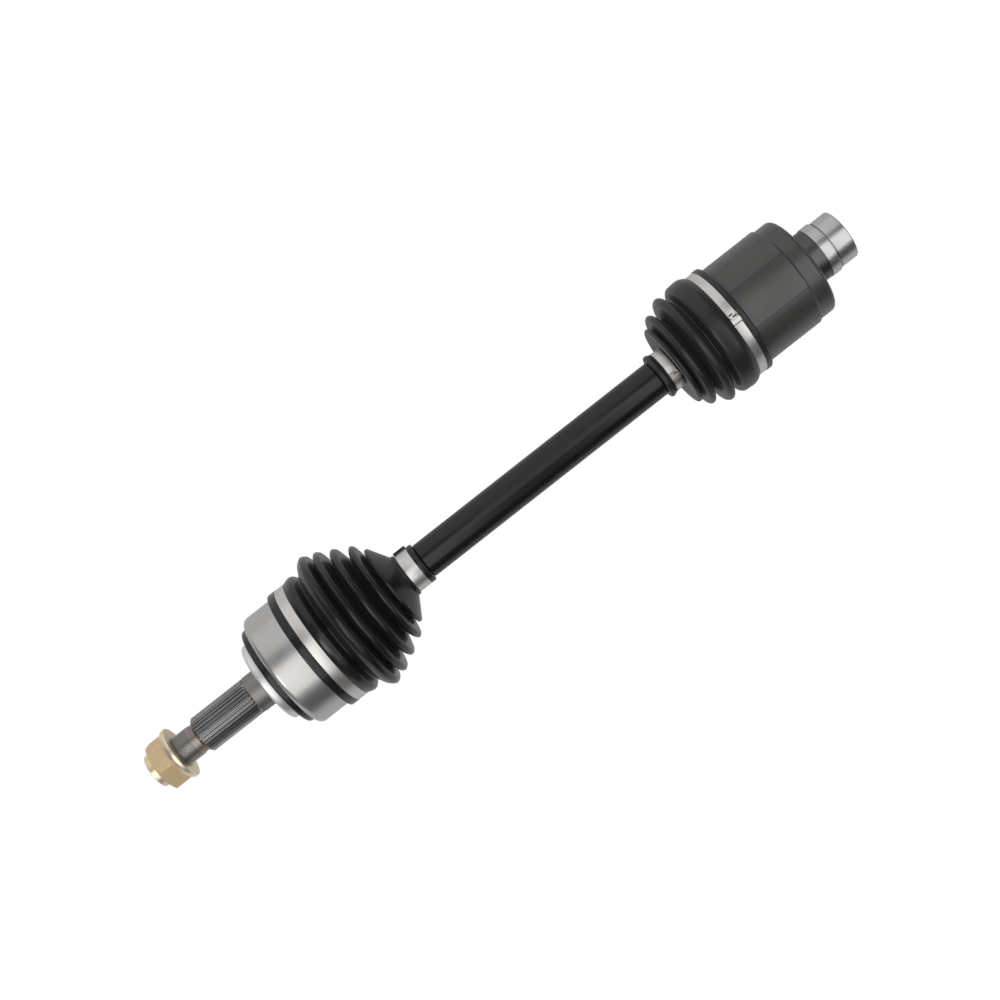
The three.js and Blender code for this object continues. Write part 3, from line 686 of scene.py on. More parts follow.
def outboard_boot():
    seat_from, seat_to, _ = OUT_LARGE
    small_from, small_to, _ = OUT_SMALL
    lip, band, cuff, small_band = 50.5, 49.2, 16.2, 15.3
    folds = [
        (seat_to + 2.6, 51.3, 2.0),
        (seat_to + 7.4, 51.9, 2.0),
        (seat_to + 12.0, 46.5, 1.2),
        *fold(-138.0, 57.9, 4.8, 2.9, (-132.6, 45.5)),
        *fold(-128.2, 54.3, 3.0, 2.7, (-122.4, 39.0)),
        *fold(-117.0, 48.5, 3.1, 2.5, (-110.8, 33.5)),
        *fold(-105.0, 42.0, 2.8, 1.9, (-100.4, 27.5)),
        (-98.9, 33.5, 1.2),
        (-96.6, 33.0, 0.5),
    ]
    cone_end = (small_from - 3.4, 17.9, 1.2)
    return turned("outboard_bellows", [
        (OUT_BOOT_FROM, BELL_RADIUS + 0.1),
        (OUT_BOOT_FROM, lip, 1.3),
        (seat_from - 0.1, lip, 0.5),
        (seat_from - 0.1, band),
        (seat_to + 0.1, band),
        (seat_to + 0.1, band + 0.8, 0.3),
        *folds,
        cone_end,
        (small_from - 3.0, 17.4, 0.2),
        (small_from - 0.9, 17.4, 0.4),
        (small_from - 0.9, cuff, 0.2),
        (small_from - 0.1, cuff, 0.2),
        (small_from - 0.1, small_band),
        (small_to + 0.1, small_band),
        (small_to + 0.1, cuff, 0.4),
        (OUT_BOOT_TO, cuff, 1.2),
        (OUT_BOOT_TO, BOOT_SEAT_RADIUS + 0.1),
        (small_from, BOOT_SEAT_RADIUS + 0.1, 1.0),
        *inner_skin(folds[2:], OUTBOARD_WALL),
        (BELL_MOUTH + 0.6, BELL_RADIUS + 0.1, 0.5),
    ])


def inboard_folds():
    """The small end of the inboard boot and its folds, as far as the last valley."""
    small_from, small_to, _ = IN_SMALL
    small_band, lip = 15.9, 16.9
    folds = [
        (small_to + 1.0, 16.8, 0.9),
        (small_to - 0.2, 32.8, 2.4),
        (small_to + 3.6, 33.2, 2.1),
        (small_to + 5.4, 24.0, 0.8),
        (small_to + 6.0, 39.8, 2.4),
        (small_to + 10.5, 40.2, 2.5),
        (small_to + 14.5, 30.0, 1.4),
        (small_to + 17.9, 46.0, 2.8),
        (small_to + 23.3, 46.5, 3.2),
        (IN_VALLEY_X - 1.2, IN_VALLEY_RADIUS, 1.0),
        (IN_VALLEY_X, IN_VALLEY_RADIUS, 0),
    ]
    return turned("inboard_bellows_folds", [
        (IN_BOOT_FROM, BOOT_SEAT_RADIUS + 0.1),
        (IN_BOOT_FROM, 18.2, 1.8),
        (IN_BOOT_FROM + 3.6, 18.0, 1.6),
        (IN_BOOT_FROM + 4.7, lip, 0.5),
        (small_from - 0.1, lip, 0.2),
        (small_from - 0.1, small_band),
        (small_to + 0.1, small_band),
        *folds,
        *inner_skin(folds[1:], INBOARD_WALL),
        (small_to + 1.6, BOOT_SEAT_RADIUS + 0.1, 0.8),
    ])


def inboard_mouth():
    """The large end of the inboard boot, from the last valley to the housing."""
    seat_from, seat_to, _ = IN_LARGE
    band, lip = 43.5, 45.1
    bulge = [
        (IN_VALLEY_X, IN_VALLEY_RADIUS, 0),
        (IN_VALLEY_X + 1.0, IN_VALLEY_RADIUS, 0.9),
        (IN_VALLEY_X + 2.6, 47.0, 3.0),
        (seat_from - 4.4, 47.9, 3.4),
    ]
    return turned("inboard_bellows_mouth", [
        *bulge,
        (seat_from - 0.1, 44.7, 0.8),
        (seat_from - 0.1, band),
        (seat_to + 0.1, band),
        (seat_to + 0.1, lip, 0.6),
        (IN_BOOT_TO - 0.7, lip, 1.3),
        (IN_BOOT_TO - 0.7, HOUSING_RADIUS + 0.1),
        (HOUSING_MOUTH - 0.6, HOUSING_RADIUS + 0.1, 0.8),
        *inner_skin(bulge, INBOARD_WALL),
    ])


# Clamps.

def band(name, size, wall):
    start, end, radius = size
    return turned(name, [
        (start, radius - wall),
        (start, radius, 0.25),
        (end, radius, 0.25),
        (end, radius - wall),
    ])


def ear(size, wall, width=6.0, height=2.4):
    """The ear that the pincers close: two legs and a waisted top, open at both ends."""
    start, end, radius = size
    half, foot, sheet = width / 2, radius - wall / 2, 0.75
    outline = [
        (foot, -half - 0.3),
        (foot + height * 0.4, -half + 0.7),
        (foot + height * 0.8, -half + 0.3),
        (foot + height, -half + 1.0),
        (foot + height, half - 1.0),
        (foot + height * 0.8, half - 0.3),
        (foot + height * 0.4, half - 0.7),
        (foot, half + 0.3),
        (foot, half - sheet),
        (foot + height * 0.4, half - 0.7 - sheet),
        (foot + height - sheet, half - 1.0 - sheet / 2),
        (foot + height - sheet, -half + 1.0 + sheet / 2),
        (foot + height * 0.4, -half + 0.7 + sheet),
        (foot, -half + sheet),
    ]
    return pressed("ear", outline, start + 0.05, end - 0.05)


def outboard_large_clamp():
    clamp = band("outboard_large_band", OUT_LARGE, 1.0)
    return combine(clamp, roll(ear(OUT_LARGE, 1.0), -90), "UNION")


def outboard_small_clamp():
    clamp = band("outboard_small_band", OUT_SMALL, 0.7)
    return combine(clamp, ear(OUT_SMALL, 0.7, height=2.4), "UNION")


def along_band(size, rows):
    """An outline of (arc length, rise) points, bent along a band's outside with its middle at +Z."""
    radius = size[2]
    return [polar(radius + rise, 90 + math.degrees(along / radius)) for along, rise in rows]


def buckle_plate(size, half):
    """The raised plate of the buckle, which the strap's end is folded under."""
    start, end, _ = size
    rows = [
        (half * 0.05, -0.2), (half * 0.05, 1.0), (half * 0.2, 1.6), (half * 0.65, 1.4),
        (half * 0.78, 0.9), (half * 0.8, -0.2), (half * 0.4, -0.2),
    ]
    return pressed("buckle_plate", along_band(size, rows), start - 0.25, end + 0.25, edge=0.2)


def buckle_slot(size, along, across, bottom):
    """A slot between two arc lengths and two shares of the band's width, down to a depth."""
    start, end, _ = size
    first, last = along
    left, right = (start + (end - start) * share for share in across)
    rows = [(first, bottom), (first, 3), (last, 3), (last, bottom)]
    return pressed("buckle_slot", along_band(size, rows), left, right, edge=0.05)


def hook(size, x, half):
    """One of the two small teeth that hold the strap, beside the band's edge."""
    rows = [
        (-half * 0.5, -0.3), (-half * 0.45, 1.3), (-half * 0.25, 2.0), (-half * 0.05, 1.2), (0, -0.3),
    ]
    return pressed("hook", along_band(size, rows), x - 0.6, x + 0.6, edge=0.15)


def strap_tail(size, half):
    """The outer layer of the strap, which ends in a step some way round from the buckle."""
    start, end, _ = size
    first, last = -half * 1.15, -half * 0.5
    steps = 4
    top = [(first + (last - first) * i / steps, 0.6) for i in range(steps + 1)]
    sole = [(along, -0.15) for along, _ in reversed(top)]
    return pressed("strap_tail", along_band(size, [*top, *sole]), start + 0.2, end - 0.2, edge=0.12)


def buckled_clamp(name, size, wall, length):
    """A strap clamp: its tail, two hooks beside staggered slots, the plate, and the gap behind it."""
    half = length / 2
    clamp = band(name, size, wall)
    for piece in (strap_tail(size, half), buckle_plate(size, half)):
        combine(clamp, piece, "UNION")
    for x in (size[0] + 0.5, size[1] - 0.5):
        combine(clamp, hook(size, x, half), "UNION")
    for slot in (
        buckle_slot(size, (-half * 0.55, -half * 0.38), (0.12, 0.6), -1.3),
        buckle_slot(size, (-half * 0.25, -half * 0.05), (0.4, 0.88), -1.3),
        buckle_slot(size, (half * 0.84, half), (-0.1, 1.1), -wall * 0.6),
    ):
        combine(clamp, slot, "DIFFERENCE")
    return clamp


# Finishes: effects that more than one of them uses.

def add_node(tree, kind, **settings):
    made = tree.nodes.new(kind)
    for key, value in settings.items():
        setattr(made, key, value)
    return made


def new_group(name, inputs, outputs):
    """An empty shader group with named inputs, given with their usual values, and outputs."""
    tree = bpy.data.node_groups.new(name, "ShaderNodeTree")
    for label, value in inputs.items():
        socket = tree.interface.new_socket(label, in_out="INPUT", socket_type="NodeSocketFloat")
        socket.default_value = value
    for label in outputs:
        tree.interface.new_socket(label, in_out="OUTPUT", socket_type="NodeSocketFloat")
    return tree, add_node(tree, "NodeGroupInput"), add_node(tree, "NodeGroupOutput")


def math_node(tree, operation, first, second=None, third=None, clamp=False):
    """A Math node whose inputs are sockets or numbers."""
    made = add_node(tree, "ShaderNodeMath", operation=operation, use_clamp=clamp)
    for socket, value in zip(made.inputs, (first, second, third)):
        if isinstance(value, (int, float)):
            socket.default_value = value
        elif value is not None:
            tree.links.new(value, socket)
    return made.outputs["Value"]


def stretched_place(tree, along, across):
    """Object coordinates scaled by one number along the axle and another across it."""
    place = add_node(tree, "ShaderNodeTexCoord").outputs["Object"]
    scale = add_node(tree, "ShaderNodeCombineXYZ")
    for label, value in (("X", along), ("Y", across), ("Z", across)):
        tree.links.new(value, scale.inputs[label])
    product = add_node(tree, "ShaderNodeVectorMath", operation="MULTIPLY")
    tree.links.new(place, product.inputs[0])
    tree.links.new(scale.outputs["Vector"], product.inputs[1])
    return product.outputs["Vector"]


def make_tool_marks():
    """Lines left by a lathe or a grinding wheel: fine along the axle, long round it."""
    tree, given, result = new_group("tool marks", {"Lines per metre": 2500.0, "Breaks": 12.0}, ["Marks"])
    place = stretched_place(tree, given.outputs["Lines per metre"], given.outputs["Breaks"])
    noise = add_node(tree, "ShaderNodeTexNoise")
    noise.inputs["Scale"].default_value = 1.0
    noise.inputs["Detail"].default_value = 3.0
    tree.links.new(place, noise.inputs["Vector"])
    tree.links.new(noise.outputs["Fac"], result.inputs["Marks"])
    return tree


def make_grain():
    """Fine even grain, as in a moulded or plated skin."""
    tree, given, result = new_group("grain", {"Grains per metre": 1500.0, "Contrast": 1.0}, ["Grain"])
    place = add_node(tree, "ShaderNodeTexCoord").outputs["Object"]
    noise = add_node(tree, "ShaderNodeTexNoise")
    noise.inputs["Detail"].default_value = 4.0
    noise.inputs["Roughness"].default_value = 0.65
    tree.links.new(place, noise.inputs["Vector"])
    tree.links.new(given.outputs["Grains per metre"], noise.inputs["Scale"])
    centred = math_node(tree, "SUBTRACT", noise.outputs["Fac"], 0.5)
    strong = math_node(tree, "MULTIPLY", centred, given.outputs["Contrast"])
    tree.links.new(math_node(tree, "ADD", strong, 0.5, clamp=True), result.inputs["Grain"])
    return tree


def make_clouding():
    """Broad soft patches where the finish is a little lighter or darker."""
    tree, given, result = new_group("clouding", {"Patches per metre": 40.0, "Contrast": 2.0}, ["Cloud"])
    place = add_node(tree, "ShaderNodeTexCoord").outputs["Object"]
    noise = add_node(tree, "ShaderNodeTexNoise")
    noise.inputs["Detail"].default_value = 2.0
    tree.links.new(place, noise.inputs["Vector"])
    tree.links.new(given.outputs["Patches per metre"], noise.inputs["Scale"])
    centred = math_node(tree, "SUBTRACT", noise.outputs["Fac"], 0.5)
    strong = math_node(tree, "MULTIPLY", centred, given.outputs["Contrast"])
    tree.links.new(math_node(tree, "ADD", strong, 0.5, clamp=True), result.inputs["Cloud"])
    return tree


def make_mould_line():
    """A thin line along the piece, where the two halves of its mould met."""
    tree, given, result = new_group("mould line", {"Angle": 90.0, "Width": 0.0004}, ["Line"])
    place = add_node(tree, "ShaderNodeTexCoord").outputs["Object"]
    axes = add_node(tree, "ShaderNodeSeparateXYZ")
    tree.links.new(place, axes.inputs["Vector"])
    y, z = axes.outputs["Y"], axes.outputs["Z"]
    angle = math_node(tree, "RADIANS", given.outputs["Angle"])
    sine, cosine = math_node(tree, "SINE", angle), math_node(tree, "COSINE", angle)
    off_line = math_node(
        tree, "SUBTRACT", math_node(tree, "MULTIPLY", y, sine), math_node(tree, "MULTIPLY", z, cosine)
    )
    outwards = math_node(
        tree, "ADD", math_node(tree, "MULTIPLY", y, cosine), math_node(tree, "MULTIPLY", z, sine)
    )
    share = math_node(tree, "DIVIDE", math_node(tree, "ABSOLUTE", off_line), given.outputs["Width"])
    on_line = math_node(tree, "SUBTRACT", 1.0, share, clamp=True)
    on_side = math_node(tree, "GREATER_THAN", outwards, 0.0)
    tree.links.new(math_node(tree, "MULTIPLY", on_line, on_side), result.inputs["Line"])
    return tree


TOOL_MARKS = make_tool_marks()
GRAIN = make_grain()
CLOUDING = make_clouding()
MOULD_LINE = make_mould_line()


class Finish:
    """One material: a Principled shader, with short ways to place a group and to wire a value."""

    def __init__(self, name, **fixed):
        self.material = bpy.data.materials.new(name)
        self.material.use_nodes = True
        self.tree = self.material.node_tree
        self.shader = self.tree.nodes["Principled BSDF"]
        for label, value in fixed.items():
            self.shader.inputs[label.replace("_", " ")].default_value = value

    def place(self, group, **values):
        made = add_node(self.tree, "ShaderNodeGroup", node_tree=group)
        for label, value in values.items():
            made.inputs[label.replace("_", " ")].default_value = value
        return made.outputs[0]

    def mix(self, share, first, second):
        """Colours or sockets mixed by a share."""
        made = add_node(self.tree, "ShaderNodeMix", data_type="RGBA")
        self.tree.links.new(share, made.inputs["Factor"])
        for socket, value in ((made.inputs[6], first), (made.inputs[7], second)):
            if isinstance(value, tuple):
                socket.default_value = (*value, 1)
            else:
                self.tree.links.new(value, socket)
        return made.outputs[2]

    def spread(self, share, low, high):
        """A share between 0 and 1 spread over a range."""
        made = add_node(self.tree, "ShaderNodeMapRange")
        self.tree.links.new(share, made.inputs["Value"])
        made.inputs["To Min"].default_value = low
        made.inputs["To Max"].default_value = high
        return made.outputs["Result"]

    def wire(self, label, value):
        self.tree.links.new(value, self.shader.inputs[label])

    def relief(self, height, distance, strength=1.0, over=None):
        """A bump in metres, laid over another one if given."""
        bump = add_node(self.tree, "ShaderNodeBump")
        bump.inputs["Strength"].default_value = strength
        bump.inputs["Distance"].default_value = distance
        self.tree.links.new(height, bump.inputs["Height"])
        if over is not None:
            self.tree.links.new(over, bump.inputs["Normal"])
        return bump.outputs["Normal"]


def turned_metal(name, light, dark, smoothest, roughest, lines=2500.0, depth=0.000002):
    """Bare or treated steel with tool marks round the axle and soft clouding."""
    finish = Finish(name, Metallic=1.0)
    marks = finish.place(TOOL_MARKS, Lines_per_metre=lines, Breaks=10.0)
    cloud = finish.place(CLOUDING, Patches_per_metre=35.0, Contrast=1.6)
    fine = finish.place(GRAIN, Grains_per_metre=5200.0, Contrast=1.2)
    clouded = finish.mix(cloud, dark, light)
    finish.wire("Base Color", finish.mix(finish.spread(fine, 0.0, 0.3), clouded, dark))
    finish.wire("Roughness", finish.spread(marks, smoothest, roughest))
    finish.wire("Normal", finish.relief(marks, depth))
    return finish.material


def ground_steel():
    return turned_metal("ground steel", (0.64, 0.63, 0.61), (0.54, 0.53, 0.515), 0.24, 0.36)


def fine_ground_steel():
    return turned_metal("fine ground sleeve", (0.62, 0.61, 0.61), (0.56, 0.55, 0.55), 0.24, 0.3, depth=0.0000004)


def turned_neck():
    return turned_metal("turned neck", (0.15, 0.148, 0.145), (0.11, 0.108, 0.105), 0.28, 0.4)


def boss_steel():
    return turned_metal("turned boss", (0.36, 0.345, 0.33), (0.25, 0.235, 0.22), 0.36, 0.52)


def spline_steel():
    return turned_metal("rolled spline", (0.32, 0.315, 0.31), (0.20, 0.195, 0.19), 0.3, 0.4, depth=0.000001)


def thread_steel():
    return turned_metal("rolled thread", (0.52, 0.505, 0.49), (0.38, 0.37, 0.36), 0.3, 0.4, depth=0.000001)


def relief_steel():
    return turned_metal("heat tinted relief", (0.40, 0.33, 0.29), (0.28, 0.23, 0.20), 0.3, 0.45)


def black_step():
    finish = Finish("black oxide step", Metallic=0.3, Coat_Weight=0.3, Coat_Roughness=0.2)
    cloud = finish.place(CLOUDING, Patches_per_metre=60.0, Contrast=1.5)
    fine = finish.place(GRAIN, Grains_per_metre=3000.0, Contrast=1.0)
    finish.wire("Base Color", finish.mix(cloud, (0.010, 0.0095, 0.008), (0.022, 0.021, 0.018)))
    finish.wire("Roughness", finish.spread(fine, 0.2, 0.36))
    return finish.material


def bright_ring():
    finish = Finish("bright zinc pressing", Metallic=1.0)
    marks = finish.place(TOOL_MARKS, Lines_per_metre=1500.0, Breaks=25.0)
    cloud = finish.place(CLOUDING, Patches_per_metre=50.0, Contrast=1.4)
    finish.wire("Base Color", finish.mix(cloud, (0.84, 0.84, 0.845), (0.93, 0.93, 0.935)))
    finish.wire("Roughness", finish.spread(marks, 0.32, 0.5))
    finish.wire("Normal", finish.relief(marks, 0.000006))
    return finish.material


def yellow_zinc(name, gold, pink, green, smoothest, roughest, depth):
    """Yellow passivated zinc: gold with faint pink and green patches over the metal's grain."""
    finish = Finish(name, Metallic=1.0)
    patches = finish.place(CLOUDING, Patches_per_metre=90.0, Contrast=3.0)
    fine_patches = finish.place(CLOUDING, Patches_per_metre=330.0, Contrast=2.4)
    grains = finish.place(GRAIN, Grains_per_metre=1500.0, Contrast=2.2)
    patched = finish.mix(patches, gold, pink)
    finish.wire("Base Color", finish.mix(finish.spread(fine_patches, 0.0, 0.6), patched, green))
    finish.wire("Roughness", finish.spread(grains, smoothest, roughest))
    finish.wire("Normal", finish.relief(grains, depth, 0.7))
    return finish.material


def turned_zinc():
    return yellow_zinc(
        "yellow zinc on turned faces", (0.97, 0.83, 0.55), (0.96, 0.78, 0.63), (0.93, 0.88, 0.62),
        0.26, 0.42, 0.00003,
    )


def forged_zinc():
    return yellow_zinc(
        "yellow zinc on forged flats", (0.88, 0.67, 0.38), (0.90, 0.63, 0.46), (0.82, 0.75, 0.45),
        0.45, 0.75, 0.00025,
    )


def clamp_steel():
    """Rolled stainless strip, brushed along its length."""
    finish = Finish("clamp strip", Metallic=1.0)
    marks = finish.place(TOOL_MARKS, Lines_per_metre=3500.0, Breaks=18.0)
    cloud = finish.place(CLOUDING, Patches_per_metre=70.0, Contrast=1.8)
    finish.wire("Base Color", finish.mix(cloud, (0.70, 0.67, 0.63), (0.80, 0.775, 0.74)))
    finish.wire("Roughness", finish.spread(marks, 0.24, 0.44))
    finish.wire("Normal", finish.relief(marks, 0.000005))
    return finish.material


def black_paint():
    """Satin black stoving paint on the bar."""
    finish = Finish("satin black paint", IOR=1.5)
    cloud = finish.place(CLOUDING, Patches_per_metre=22.0, Contrast=1.5)
    peel = finish.place(GRAIN, Grains_per_metre=700.0, Contrast=1.0)
    finish.wire("Base Color", finish.mix(cloud, (0.0035, 0.0035, 0.0045), (0.006, 0.006, 0.0075)))
    finish.wire("Roughness", finish.spread(peel, 0.2, 0.28))
    finish.wire("Normal", finish.relief(peel, 0.00001, 0.5))
    return finish.material


# Dark steel for the small clamp's ear: painted shade, standing in for the shadow the ear sits in.
def ear_painted_shade():
    return turned_metal("ear dark steel as painted shade", (0.07, 0.07, 0.07), (0.03, 0.03, 0.03), 0.2, 0.34)


def phosphate():
    """Dark olive-grey phosphate over turned steel."""
    finish = Finish("dark phosphate", Metallic=0.55, Coat_Weight=0.45, Coat_Roughness=0.24)
    marks = finish.place(TOOL_MARKS, Lines_per_metre=1800.0, Breaks=8.0)
    cloud = finish.place(CLOUDING, Patches_per_metre=30.0, Contrast=1.6)
    fine = finish.place(GRAIN, Grains_per_metre=2600.0, Contrast=1.4)
    clouded = finish.mix(cloud, (0.078, 0.078, 0.073), (0.104, 0.104, 0.098))
    finish.wire("Base Color", finish.mix(finish.spread(fine, 0.0, 0.3), clouded, (0.05, 0.05, 0.047)))
    finish.wire("Roughness", finish.spread(marks, 0.32, 0.44))
    finish.wire("Normal", finish.relief(marks, 0.000004))
    return finish.material


def moulded(name, dark, light, smoothest, roughest, line_at, sheen):
    """A moulded black boot skin with a fine grain and the line where its mould closed."""
    finish = Finish(name, IOR=1.5, Sheen_Weight=sheen, Sheen_Roughness=0.5)
    cloud = finish.place(CLOUDING, Patches_per_metre=45.0, Contrast=1.6)
    skin = finish.place(GRAIN, Grains_per_metre=2200.0, Contrast=1.2)
    line = finish.place(MOULD_LINE, Angle=line_at, Width=0.00035)
    clouded = finish.mix(cloud, dark, light)
    finish.wire("Base Color", finish.mix(line, clouded, (0.002, 0.002, 0.002)))
    duller = add_node(finish.tree, "ShaderNodeMath", operation="MULTIPLY_ADD")
    duller.inputs[1].default_value = 0.5
    finish.tree.links.new(line, duller.inputs[0])
    finish.tree.links.new(finish.spread(skin, smoothest, roughest), duller.inputs[2])
    finish.wire("Roughness", duller.outputs["Value"])
    seam = finish.relief(line, -0.0004)
    finish.wire("Normal", finish.relief(skin, 0.00001, 0.6, over=seam))
    return finish.material


def glossy_elastomer():
    return moulded("glossy elastomer", (0.005, 0.005, 0.006), (0.009, 0.0085, 0.011), 0.17, 0.24, 112.0, 0.04)


def soft_rubber():
    return moulded("soft rubber", (0.011, 0.011, 0.013), (0.018, 0.018, 0.022), 0.28, 0.38, 31.0, 0.06)


def hardened_steel():
    return turned_metal("hardened steel", (0.44, 0.44, 0.45), (0.30, 0.30, 0.31), 0.16, 0.34)


def polished_steel():
    return turned_metal("polished steel", (0.72, 0.72, 0.73), (0.60, 0.60, 0.61), 0.05, 0.14, depth=0.000001)


def spring_steel():
    return turned_metal("spring steel", (0.34, 0.33, 0.31), (0.22, 0.21, 0.2), 0.26, 0.42)


# Fitting the finishes.

def coat(piece, material):
    piece.data.materials.clear()
    piece.data.materials.append(material)


def coat_where(piece, material, test):
    """A second finish on the faces that pass a test of station and distance from the axle's line."""
    piece.data.materials.append(material)
    index = len(piece.data.materials) - 1
    for face in piece.data.polygons:
        x, y, z = face.center / MM
        if test(x, math.hypot(y, z)):
            face.material_index = index


def finish_outer_race(race):
    """The ground bell, with each stretch of the stub in its own finish."""
    teeth_from, teeth_to = STUB_TEETH["from"], STUB_TEETH["to"]
    coat(race, ground_steel())
    coat_where(race, thread_steel(), lambda x, r: x < THREAD["to"] + 0.7)
    coat_where(race, relief_steel(), lambda x, r: THREAD["to"] + 0.7 < x < teeth_from - 1.6)
    coat_where(race, spline_steel(), lambda x, r: teeth_from - 1.6 < x < teeth_to + 1.6)
    coat_where(race, boss_steel(), lambda x, r: teeth_to + 1.6 < x < STEP_X and r < SHOULDER_RADIUS + 1)
    coat_where(race, black_step(), lambda x, r: x < BELL_X + 0.1 and r > SHOULDER_RADIUS + 1)


def finish_housing(housing):
    """Dark phosphate, with the collar and the seal's sleeve ground bright."""
    collar = HOUSING_MOUTH + 88.2
    coat(housing, phosphate())
    back = HOUSING_MOUTH + 75.6
    coat_where(housing, turned_neck(), lambda x, r: back < x < collar and r < NECK_RADIUS + 2.5)
    coat_where(housing, fine_ground_steel(), lambda x, r: x > collar)


def fit_wheel_end():
    race = outer_race()
    finish_outer_race(race)
    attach(race, "wheel_end")
    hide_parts("outer_race")
    ring = dust_ring()
    coat(ring, bright_ring())
    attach(ring, "wheel_end")
    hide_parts("dust_ring")
    nut = axle_nut()
    coat(nut, turned_zinc())
    on_hexagon = (NUT["collar_to"] - 0.1, NUT["hex_to"] + 0.1)
    coat_where(nut, forged_zinc(), lambda x, r: on_hexagon[0] < x < on_hexagon[1] and r > NUT["collar"] + 0.2)
    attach(nut, "axle_nut")
    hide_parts("axle_nut")


def fit_bar():
    bar = axle_bar()
    coat(bar, black_paint())
    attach(bar, "axle")
    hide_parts("axle_bar")


def fit_gearbox_end():
    housing = tripod_housing()
    finish_housing(housing)
    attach(housing, "gearbox_end")
    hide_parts("tripod_housing")


def fit_outboard_boot():
    boot = outboard_boot()
    coat(boot, glossy_elastomer())
    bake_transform(boot)
    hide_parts("outboard_boot")


def fit_inboard_boot():
    """The inboard boot in two pieces that meet in the last valley: the folds, and the large end."""
    rubber = soft_rubber()
    for piece, near, far, start, end in (
        (inboard_folds(), "axle", "lower_roller", IN_SMALL[1], IN_VALLEY_X),
        (inboard_mouth(), "lower_roller", "gearbox_end", IN_VALLEY_X, IN_LARGE[0]),
    ):
        coat(piece, rubber)
        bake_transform(piece)
        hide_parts("inboard_boot")


def fit_clamps():
    steel = clamp_steel()
    in_large = buckled_clamp("inboard_large_band", IN_LARGE, 1.0, 12.8)
    in_small = roll(buckled_clamp("inboard_small_band", IN_SMALL, 0.7, 8.8), 20)
    for clamp, body, node in (
        (outboard_large_clamp(), "wheel_end", "outboard_large_clamp"),
        (outboard_small_clamp(), "axle", "outboard_small_clamp"),
        (in_large, "gearbox_end", "inboard_large_clamp"),
        (in_small, "axle", "inboard_small_clamp"),
    ):
        coat(clamp, steel)
        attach(clamp, body)
        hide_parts(node)
        if node == "outboard_small_clamp":
            # The ear's faces get the dark steel as painted shade.
            coat_where(clamp, ear_painted_shade(), lambda x, r: r > OUT_SMALL[2] + 0.3)


def finish_inner_pieces():
    """The pieces inside the joints keep their CAD shape and get their finish."""
    by_slot = {
        "hardened_steel": hardened_steel(),
        "ball_steel": polished_steel(),
        "spring_steel": spring_steel(),
    }
    for part in frame["record"]["subparts"]:
        if part["material_slot"] in by_slot:
            coat(frame["nodes"][part["node"]], by_slot[part["material_slot"]])


# Studio.

def panel(name, angles, stations, distance, brightness):
    """A soft light beside the axle, between two angles about it and two stations along it."""
    first, last = angles
    start, end = stations
    lamp = bpy.data.lights.new(name, "AREA")
    lamp.shape = "RECTANGLE"
    lamp.size = end - start
    lamp.size_y = 2 * distance * math.tan(math.radians(last - first) / 2)
    lamp.energy = brightness * math.pi * lamp.size * lamp.size_y
    light = bpy.data.objects.new(name, lamp)
    bpy.context.scene.collection.objects.link(light)
    middle = (first + last) / 2
    light.location = ((start + end) / 2, *polar(distance, middle))
    light.rotation_euler.x = math.radians(middle - 90)
    light.visible_camera = False


def lit_backdrop_shader(tree, surface, backdrop):
    """What the camera sees directly is the plain backdrop; everything else meets the real surface."""
    path = add_node(tree, "ShaderNodeLightPath")
    mix = add_node(tree, "ShaderNodeMixShader")
    tree.links.new(path.outputs["Is Camera Ray"], mix.inputs["Fac"])
    tree.links.new(surface, mix.inputs[1])
    tree.links.new(backdrop, mix.inputs[2])
    return mix.outputs["Shader"]


def studio_floor():
    deselect()
    lowest = min(cad_box[0].z, -widest("outboard_boot") * MM)
    bpy.ops.mesh.primitive_plane_add(size=8, location=(0, 0, lowest - 0.2 * MM))
    floor = bpy.context.object
    floor.name = "studio_floor"
    paper = bpy.data.materials.new("pale paper")
    paper.use_nodes = True
    tree = paper.node_tree
    surface = tree.nodes["Principled BSDF"]
    surface.inputs["Base Color"].default_value = (0.86, 0.86, 0.86, 1)
    surface.inputs["Roughness"].default_value = 0.9
    glow = add_node(tree, "ShaderNodeEmission")
    glow.inputs["Strength"].default_value = 1.0
    shown = lit_backdrop_shader(tree, surface.outputs["BSDF"], glow.outputs["Emission"])
    tree.links.new(shown, tree.nodes["Material Output"].inputs["Surface"])
    coat(floor, paper)


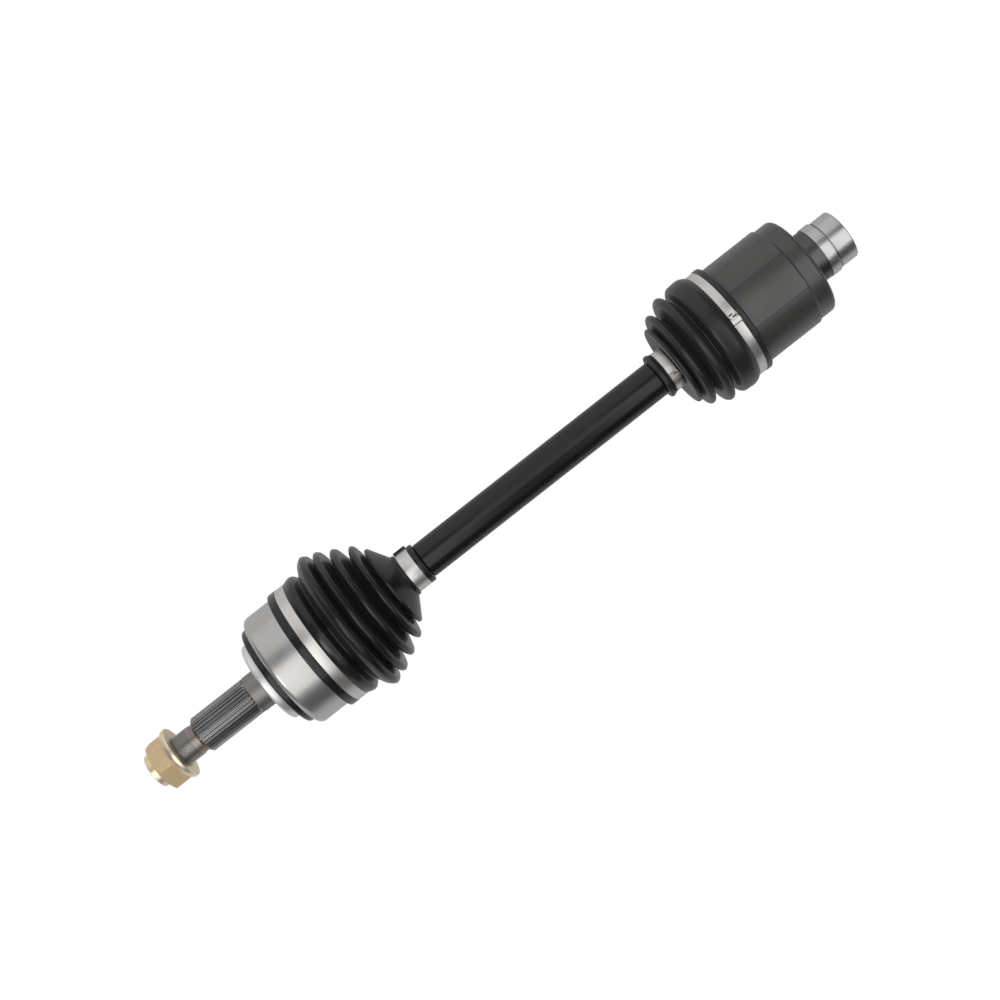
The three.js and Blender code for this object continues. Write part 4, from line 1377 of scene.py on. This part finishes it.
def studio_flag():
    """A dark card along the -Y side, which gives the metal its dark edge."""
    deselect()
    bpy.ops.mesh.primitive_cube_add(size=1, location=(0.12, -0.42, 0.1))
    bpy.context.object.scale = (0.96, 0.01, 0.28)
    flag = settle("studio_flag")
    flag.visible_camera = False
    card = bpy.data.materials.new("black card")
    card.use_nodes = True
    card.node_tree.nodes["Principled BSDF"].inputs["Base Color"].default_value = (0.16, 0.16, 0.16, 1)
    coat(flag, card)


def studio_air():
    world = bpy.data.worlds.new("studio")
    world.use_nodes = True
    tree = world.node_tree
    air = tree.nodes["Background"]
    air.inputs["Color"].default_value = (0.97, 0.97, 1.0, 1)
    air.inputs["Strength"].default_value = 0.22
    white = add_node(tree, "ShaderNodeBackground")
    white.inputs["Color"].default_value = (1, 1, 1, 1)
    white.inputs["Strength"].default_value = 1.0
    shown = lit_backdrop_shader(tree, air.outputs["Background"], white.outputs["Background"])
    tree.links.new(shown, tree.nodes["World Output"].inputs["Surface"])
    bpy.context.scene.world = world
    bpy.context.scene.view_settings.view_transform = "Standard"


def studio_lights():
    """Two overhead panels with a weaker one between them, and a long one at the +Y side."""
    overhead, side = 1.6, 1.5
    panel("wheel end panel", (78, 140), (-1.3, -0.2), overhead, 1.15)
    panel("gearbox end panel", (78, 140), (0.38, 1.4), overhead, 1.15)
    panel("middle panel", (55, 103), (-0.2, 0.38), overhead, 0.6)
    panel("side panel", (-5, 55), (-1.2, 1.2), side, 0.54)
    panel("end light", (88, 116), (-2.0, -1.2), overhead, 3.5)


def camera():
    """Straight above the axle, rolled so that the gearbox end is at the upper right."""
    lens = bpy.data.cameras.new("camera")
    lens.lens = 56.5
    lens.sensor_width = 36
    lens.clip_end = 20
    eye = bpy.data.objects.new("camera", lens)
    bpy.context.scene.collection.objects.link(eye)
    eye.location = (2.4 * MM, 0.8 * MM, 1150 * MM)
    eye.rotation_euler.z = math.radians(-38.14)
    bpy.context.scene.camera = eye


camera()
studio_lights()
studio_air()
studio_floor()
studio_flag()
fit_wheel_end()
fit_bar()
fit_gearbox_end()
fit_outboard_boot()
fit_inboard_boot()
fit_clamps()
finish_inner_pieces()
